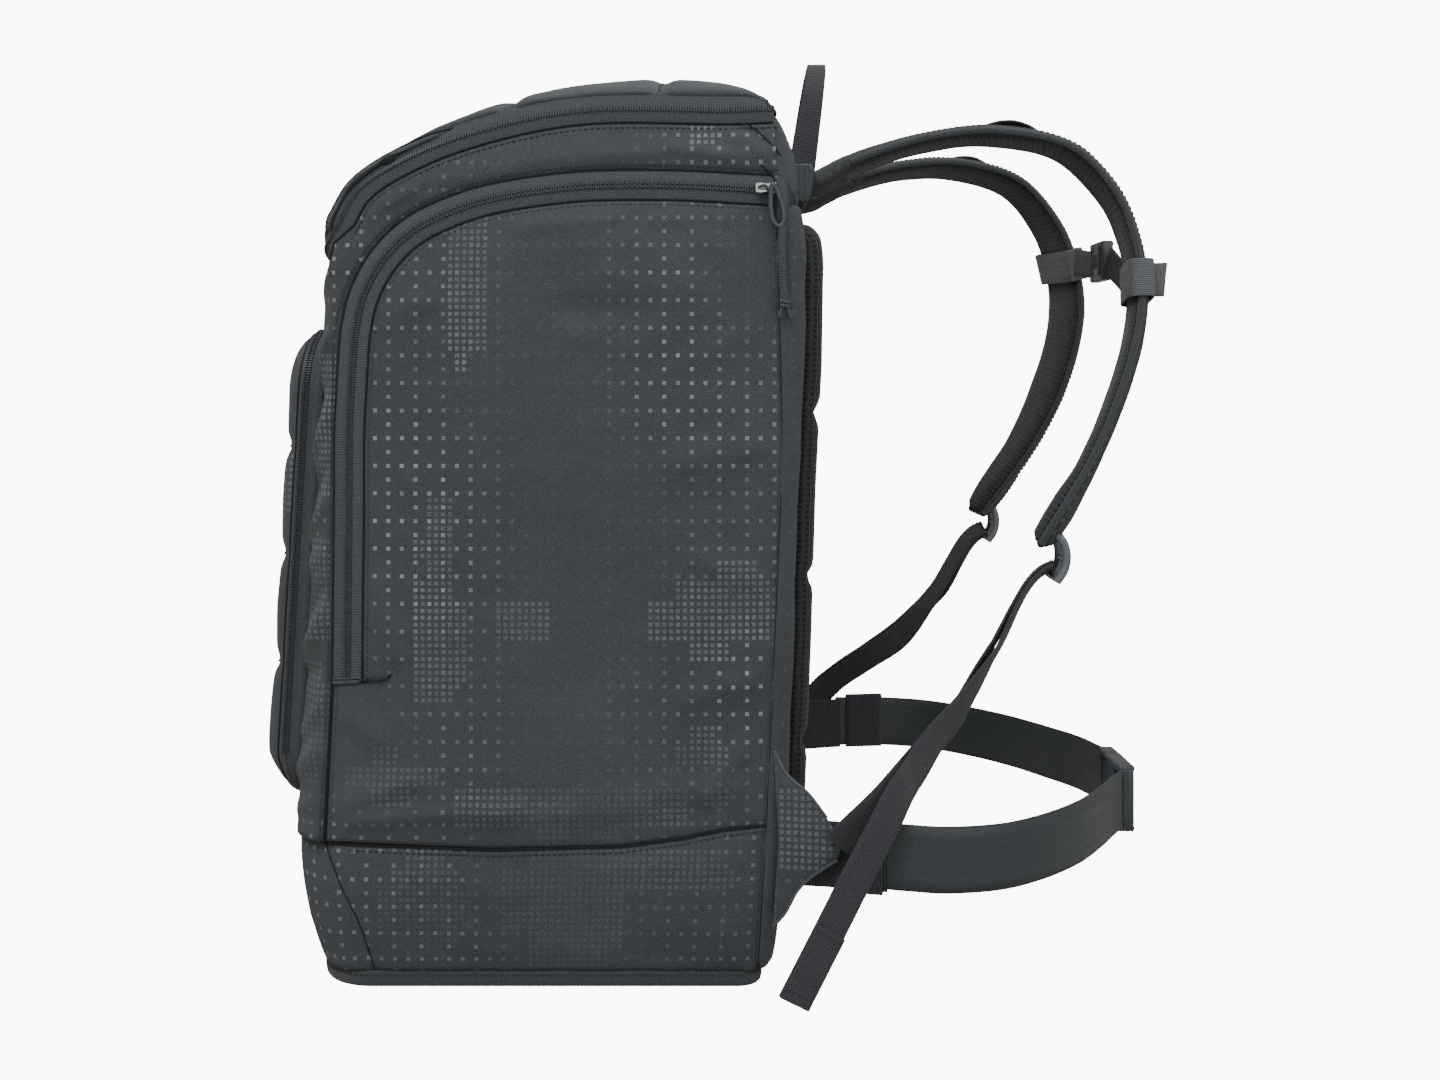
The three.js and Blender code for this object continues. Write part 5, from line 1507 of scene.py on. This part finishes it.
def make_slider(name, place, along, out):
    """A zip slider: a waisted body on two rails, with a bridge for its pull."""
    c, a, n = np.array(place, float), unit(np.array(along, float)), unit(np.array(out, float))
    b = np.cross(n, a)
    form = Form()
    t = np.linspace(-1, 1, 13)
    width = 3.4 - 0.9 * np.exp(-(((t + 0.1) / 0.5) ** 2)) - 0.8 * np.clip(t, 0, 1) ** 3
    edge = np.stack([6.2 * t, width], 1)
    plan = np.vstack([edge, edge[::-1] * (1, -1)])
    for level, thick in ((-0.9, 1.1), (1.3, 1.3)):
        ring = c + plan[:, :1] * a + plan[:, 1:] * b + n * level
        low = ring - n * thick / 2 + (c - ring) * 0.05
        high = ring + n * thick / 2 + (c + n * level - ring) * 0.07
        form.tube(np.array([low, ring - n * thick * 0.3, ring + n * thick * 0.3, high]))
    q = np.linspace(0, math.pi, 14)[:, None]
    arch = c + a * 4.4 * np.cos(q) + n * (1.6 + 2.7 * np.sin(q))
    form.tube(strap(arch, b, flat_section(2.4, 1.2)))
    settle(form.make(name, [METAL], weld=0), name, "slider_metal", (name,))


def make_pull(name, top, down, across, length, rib=None):
    """A loop pull: a teardrop frame that hangs from the slider's bridge, with a rib to it if given."""
    d, w = unit(np.array(down, float)), unit(np.array(across, float))
    w = unit(w - d * (w @ d))
    turn = np.linspace(0, math.tau, 41)[:, None]
    y = (1 - np.cos(turn)) / 2
    line = np.array(top, float) + d * y * length + w * 4.3 * np.sin(turn) * (0.42 + 0.72 * y)
    form = Form().tube(tube_along(line, 1.65, 9, 0.9), caps=False)
    if rib:
        form.tube(tube_along(spline(rib, 1), 1.1, 8))
    settle(form.make(name, [RUBBER], weld=0), name, "moulded_plastic", (name,))


def make_cord(name, side):
    """A door's pull cord, which ends in a knot with two short ends."""
    line = spline(mirrored(CORD_ROUTE, side), count=30)
    tail = line[-1]
    knot = Form()
    turn = np.linspace(0, KNOT_TURNS * math.tau, 46)
    coil = tail + np.stack([2.0 * np.cos(turn), 1.5 * np.sin(turn), 1.8 - np.linspace(0, 5.4, 46)], 1)
    knot.tube(tube_along(coil, 1.15))
    for q in (-1, 1):
        end = [(q * 0.8, 0, -2), (q * 2.4, side * 0.4, -5.5), (q * 3.6, side * 0.8, -9.5)]
        knot.tube(tube_along(tail + spline(end, 1.2), 1.0))
        knot.tube(tube_along(line + (q * 1.05, 0, 0), 1.0))
    knot_piece = settle(knot.make(f"pull_knot_{name}", [CORD], weld=0), f"door_pull_{name}", "webbing")
    piece = Form().tube(tube_along(line, 1.2)).make(f"pull_cord_{name}", [CORD], weld=0)
    settle(piece, f"door_pull_{name}", "webbing", (f"door_pull_cord_{name}",))


def make_sliders():
    for name, side in SIDES:
        place = (129.5, side * (HALF_WIDTH + 2.8), 484.6)
        make_slider(f"door_slider_{name}", place, (-1, 0, 0), (0, side, 0))
        rib = [(131.8, side * 177.2, 483), (128.6, side * 177.4, 485.4), (126.0, side * 176, 484.8)]
        make_pull(f"door_pull_{name}", (133.6, side * 177.0, 486.4), (0.16, 0, -1), (1, 0, 0), 25.5, rib)
    for name, place, along, out, top, across in PULLS:
        make_slider(f"{name}_slider", place, along, out)
        make_pull(f"{name}_pull", top, DOWN, across, 22)


def make_zip_garage(name, side):
    """The tab that covers the rear end of a side zip."""
    q = patch(*GARAGE_EDGES, 18, 22)
    d = reach(q, np.vstack([q[0], q[:, -1], q[-1, ::-1], q[::-1, 0]]))
    away = np.clip((q[..., 0] - 134) / 14, 0, 1)
    p = on_side(q, side, 0.8 + puff(d, 2.0, 2.2) - 7.5 * away**2.2)
    piece = Form().facing(p, (100, 0, 478)).make(f"zip_garage_{name}", [GARAGE], weld=0, thick=1.4)
    settle(piece, "bag", "moulded_plastic")


# ---------------------------------------------------------------- hip wings and belt

WING_UPPER = [(134.5, 146), (142, 132), (155, 121), (166, 107)]
WING_LOWER = [(134, 40), (141, 48), (149, 63), (158, 72), (172, 82)]
WING_SEAM = [(134, 40), (137, 92), (134.5, 146)]
WING_TIP = [(172, 82), (176, 92), (166, 107)]
ANCHOR_PLAN = [(152, 166.5), (166, 168.6), (181.5, 173), (202, 178.3)]
BELT_PLAN = [
    (197, 176.8), (204, 178.6), (220, 181.6), (236, 183), (270, 175), (300, 154), (330, 122), (354, 85),
    (371, 55),
]
TURN_RIGHT = [(378.2, 44, 81), (382.6, 41, 81), (383.4, 37, 81)]
TURN_LEFT = [(380.4, 22, 81), (383, 18.5, 81), (383, 15, 81)]
BELT_SIDES = {
    "right": ((379, 42), TURN_RIGHT, (192, 175.7, 83), 0.26, 15, "bag"),
    "left": ((382, 19.5), TURN_LEFT, (222, 181.7, 84.6), 0.12, 30, "belt_left"),
}


def wing_y(q):
    """How far out the hip wing lies at points of the side view."""
    return 170.9 + (q[..., 0] - 134) / 44 * 8.5


def make_wing(name, side):
    upper, lower, right = spline(WING_UPPER, 3), spline(WING_LOWER, 3), spaced(WING_TIP, 2)
    q = patch(spaced(WING_SEAM, 3), right, upper, lower, 34, 60)
    d = reach(q, np.vstack([lower, right, upper[::-1]]))
    out = puff(d, 1.8, 5) + ripple(q, 20, side * 3.0) * 0.7 * np.clip(d / 6, 0, 1)
    p = lifted(q, side * (wing_y(q) + out))
    piece = skin(f"hip_wing_{name}", p, q * MM, [FABRIC, LINING], (100, 0, 100), 2.8)
    settle(piece, "bag", "shell_fabric", (f"hip_wing_{name}",))
    trim = Form()
    for line in (upper, lower):
        trim.tube(tube_along(lifted(line, side * (wing_y(line) - 0.2)), 1.0))
    settle(trim.make(f"wing_edge_{name}", [PIPING], weld=0), "bag", "webbing")


def make_belt(name, side):
    """Half of the hip belt: its anchor, its webbing with the turned end, and its elastic keeper."""
    end, turned, keeper, slope, size, keeper_body = BELT_SIDES[name]
    body = f"belt_{name}"
    line = spline([(x, side * y, 83) for x, y in ANCHOR_PLAN], 3)
    ribbed(f"belt_anchor_{name}", "bag", line, UP, 40, 2.8, ELASTIC, (f"belt_anchor_{name}",))
    points = [(x, side * y, 85 - 4 * i / 9) for i, (x, y) in enumerate(BELT_PLAN + [end])]
    ribbed(f"hip_belt_{name}", body, spline(points, 3), UP, 40, 1.9, WEBBING_WIDE, (f"hip_belt_{name}",))
    ribbed(f"belt_turn_{name}", body, spline(mirrored(turned, side), 1.5), UP, 38, 2.6, WEBBING_WIDE)
    tangent, centre = unit(np.array((1, side * slope, 0))), np.array(keeper) * (1, side, 1)
    ring = closed_band(centre, UP, np.cross(tangent, UP), 21.9, 3.0, (0.22, 0.5), 64)
    form = Form().facing([ring + tangent * h for h in np.linspace(-size / 2, size / 2, 8)], centre, wrap=True)
    piece = form.make(f"belt_keeper_{name}", [ELASTIC], weld=0, thick=0.8)
    settle(piece, keeper_body, "webbing", (f"belt_keeper_{name}",))


# ---------------------------------------------------------------- haul loop and yoke

HAUL_RISE = [
    (-35, 514.6), (-36, 540), (-33, 570), (-22, 588), (0, 592), (22, 588), (33, 570), (36, 540), (35, 514.6),
]
YOKE_SECTION = [
    (151.4, 486), (159, 486), (163, 496), (163, 511), (154, 512), (146.5, 511), (149.5, 500), (151.4, 486),
]


def make_haul_loop():
    def section_at(t):
        return flat_section(2 * at([(0, 8.5), (0.42, 6.5), (0.58, 6.5), (1, 8.5)], t), 2.1)

    line = spline([(159 + (z - 512) * 0.14, y, z) for y, z in HAUL_RISE], 2.5)
    form = Form().tube(strap(line, FORE_AFT, section_at), uv=strap_uv(line, flat_section(17, 2.1)))
    settle(form.make("haul_loop", [WEBBING], weld=0.01), "haul_loop", "webbing", ("haul_loop",))


def make_yoke():
    """The sewn bar that the shoulder straps and the haul loop come out of."""
    outline = spline(YOKE_SECTION, 2)[:-1]
    centre = outline.mean(0)
    rings = []
    for y in np.concatenate([[-86, -85.2], np.linspace(-83, 83, 40), [85.2, 86]]):
        shrink = 1 - 0.12 * max(0, (abs(y) - 83) / 3)
        rings.append(lifted(centre + (outline - centre) * shrink, y))
    piece = Form().tube(np.array(rings)).make("strap_yoke", [FABRIC_PLAIN], weld=0)
    settle(piece, "bag", "webbing", ("strap_yoke",))


# ---------------------------------------------------------------- all pieces in order


def make_all():
    for name, side in SIDES:
        make_cord(name, side)
    for name, side in SIDES:
        for make in (make_side, make_door_zip, make_pad, make_root, make_webbing):
            make(name, side)
        for make in (make_sternum, make_ladder_lock, make_wing, make_belt):
            make(name, side)
    make_sliders()
    for name, side in SIDES:
        make_zip_garage(name, side)
    for make in (make_front, make_lid_zip, make_lid, make_lid_hinge, make_pocket):
        make()
    for make in (make_tub, make_base, make_back, make_back_pad):
        make()
    for name, side in SIDES:
        make_inside(name, side)
    make_haul_loop()
    make_yoke()
    make_buckle("hip_buckle", (382.5, 0, 80), (46, 12.5, 40), ("belt_right", "belt_left"))
    make_buckle("sternum_buckle", (373, 0, 453), (28, 9.6, 26), ("shoulder_right", "shoulder_left"))


make_all()
sheet_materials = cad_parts["frame_sheet"].data.materials
sheet_materials.clear()
sheet_materials.append(SHEET)

# ---------------------------------------------------------------- floor and light

FLOOR_PROFILE = [(-3.0, 0.0), (1.6, 0.0), (1.95, 0.05), (2.25, 0.2), (2.45, 0.5), (2.5, 0.9), (2.5, 3.2)]


def make_stage():
    """A pale floor that turns up into a backdrop."""
    line = spline([(0, y, z) for y, z in FLOOR_PROFILE], 0.08)
    p = np.stack([line + (x, 0, 0) for x in np.linspace(-4, 4, 9)], 1)
    n = Nodes("floor")
    soft = n.ramp(n.noise(n.place(), 3.0, 2.0), 0.3, 0.7, 0, 0.04)
    n.put(11.0, n.shader.inputs["Emission Strength"])
    n.put(n.mix(soft, (0.9, 0.9, 0.9, 1), (0.86, 0.86, 0.86, 1)), n.shader.inputs["Emission Color"])
    floor = Form().grid(p / MM, flip=True).make("floor", [n.finish((0.15, 0.15, 0.15, 1), 0.9)], weld=0)
    floor.location = (0, 0, -0.0006)
    floor.visible_diffuse = floor.visible_glossy = False


make_stage()
world = bpy.data.worlds.new("world")
world.use_nodes = True
world.node_tree.nodes["Background"].inputs[0].default_value = (1, 1, 1, 1)
world.node_tree.nodes["Background"].inputs[1].default_value = 0.33
bpy.context.scene.world = world
add_light("key", (-0.4, -1.35, 1.9), (0.0, 0, 0.35), 1.0, 24)
add_light("front", (0.5, -2.4, 0.9), (0.1, 0, 0.3), 1.6, 9)
add_light("fill", (1.6, -1.3, 1.0), (0.15, 0, 0.3), 1.2, 8)
add_light("top", (0.1, 0.2, 2.2), (0.05, 0, 0.4), 1.4, 9)
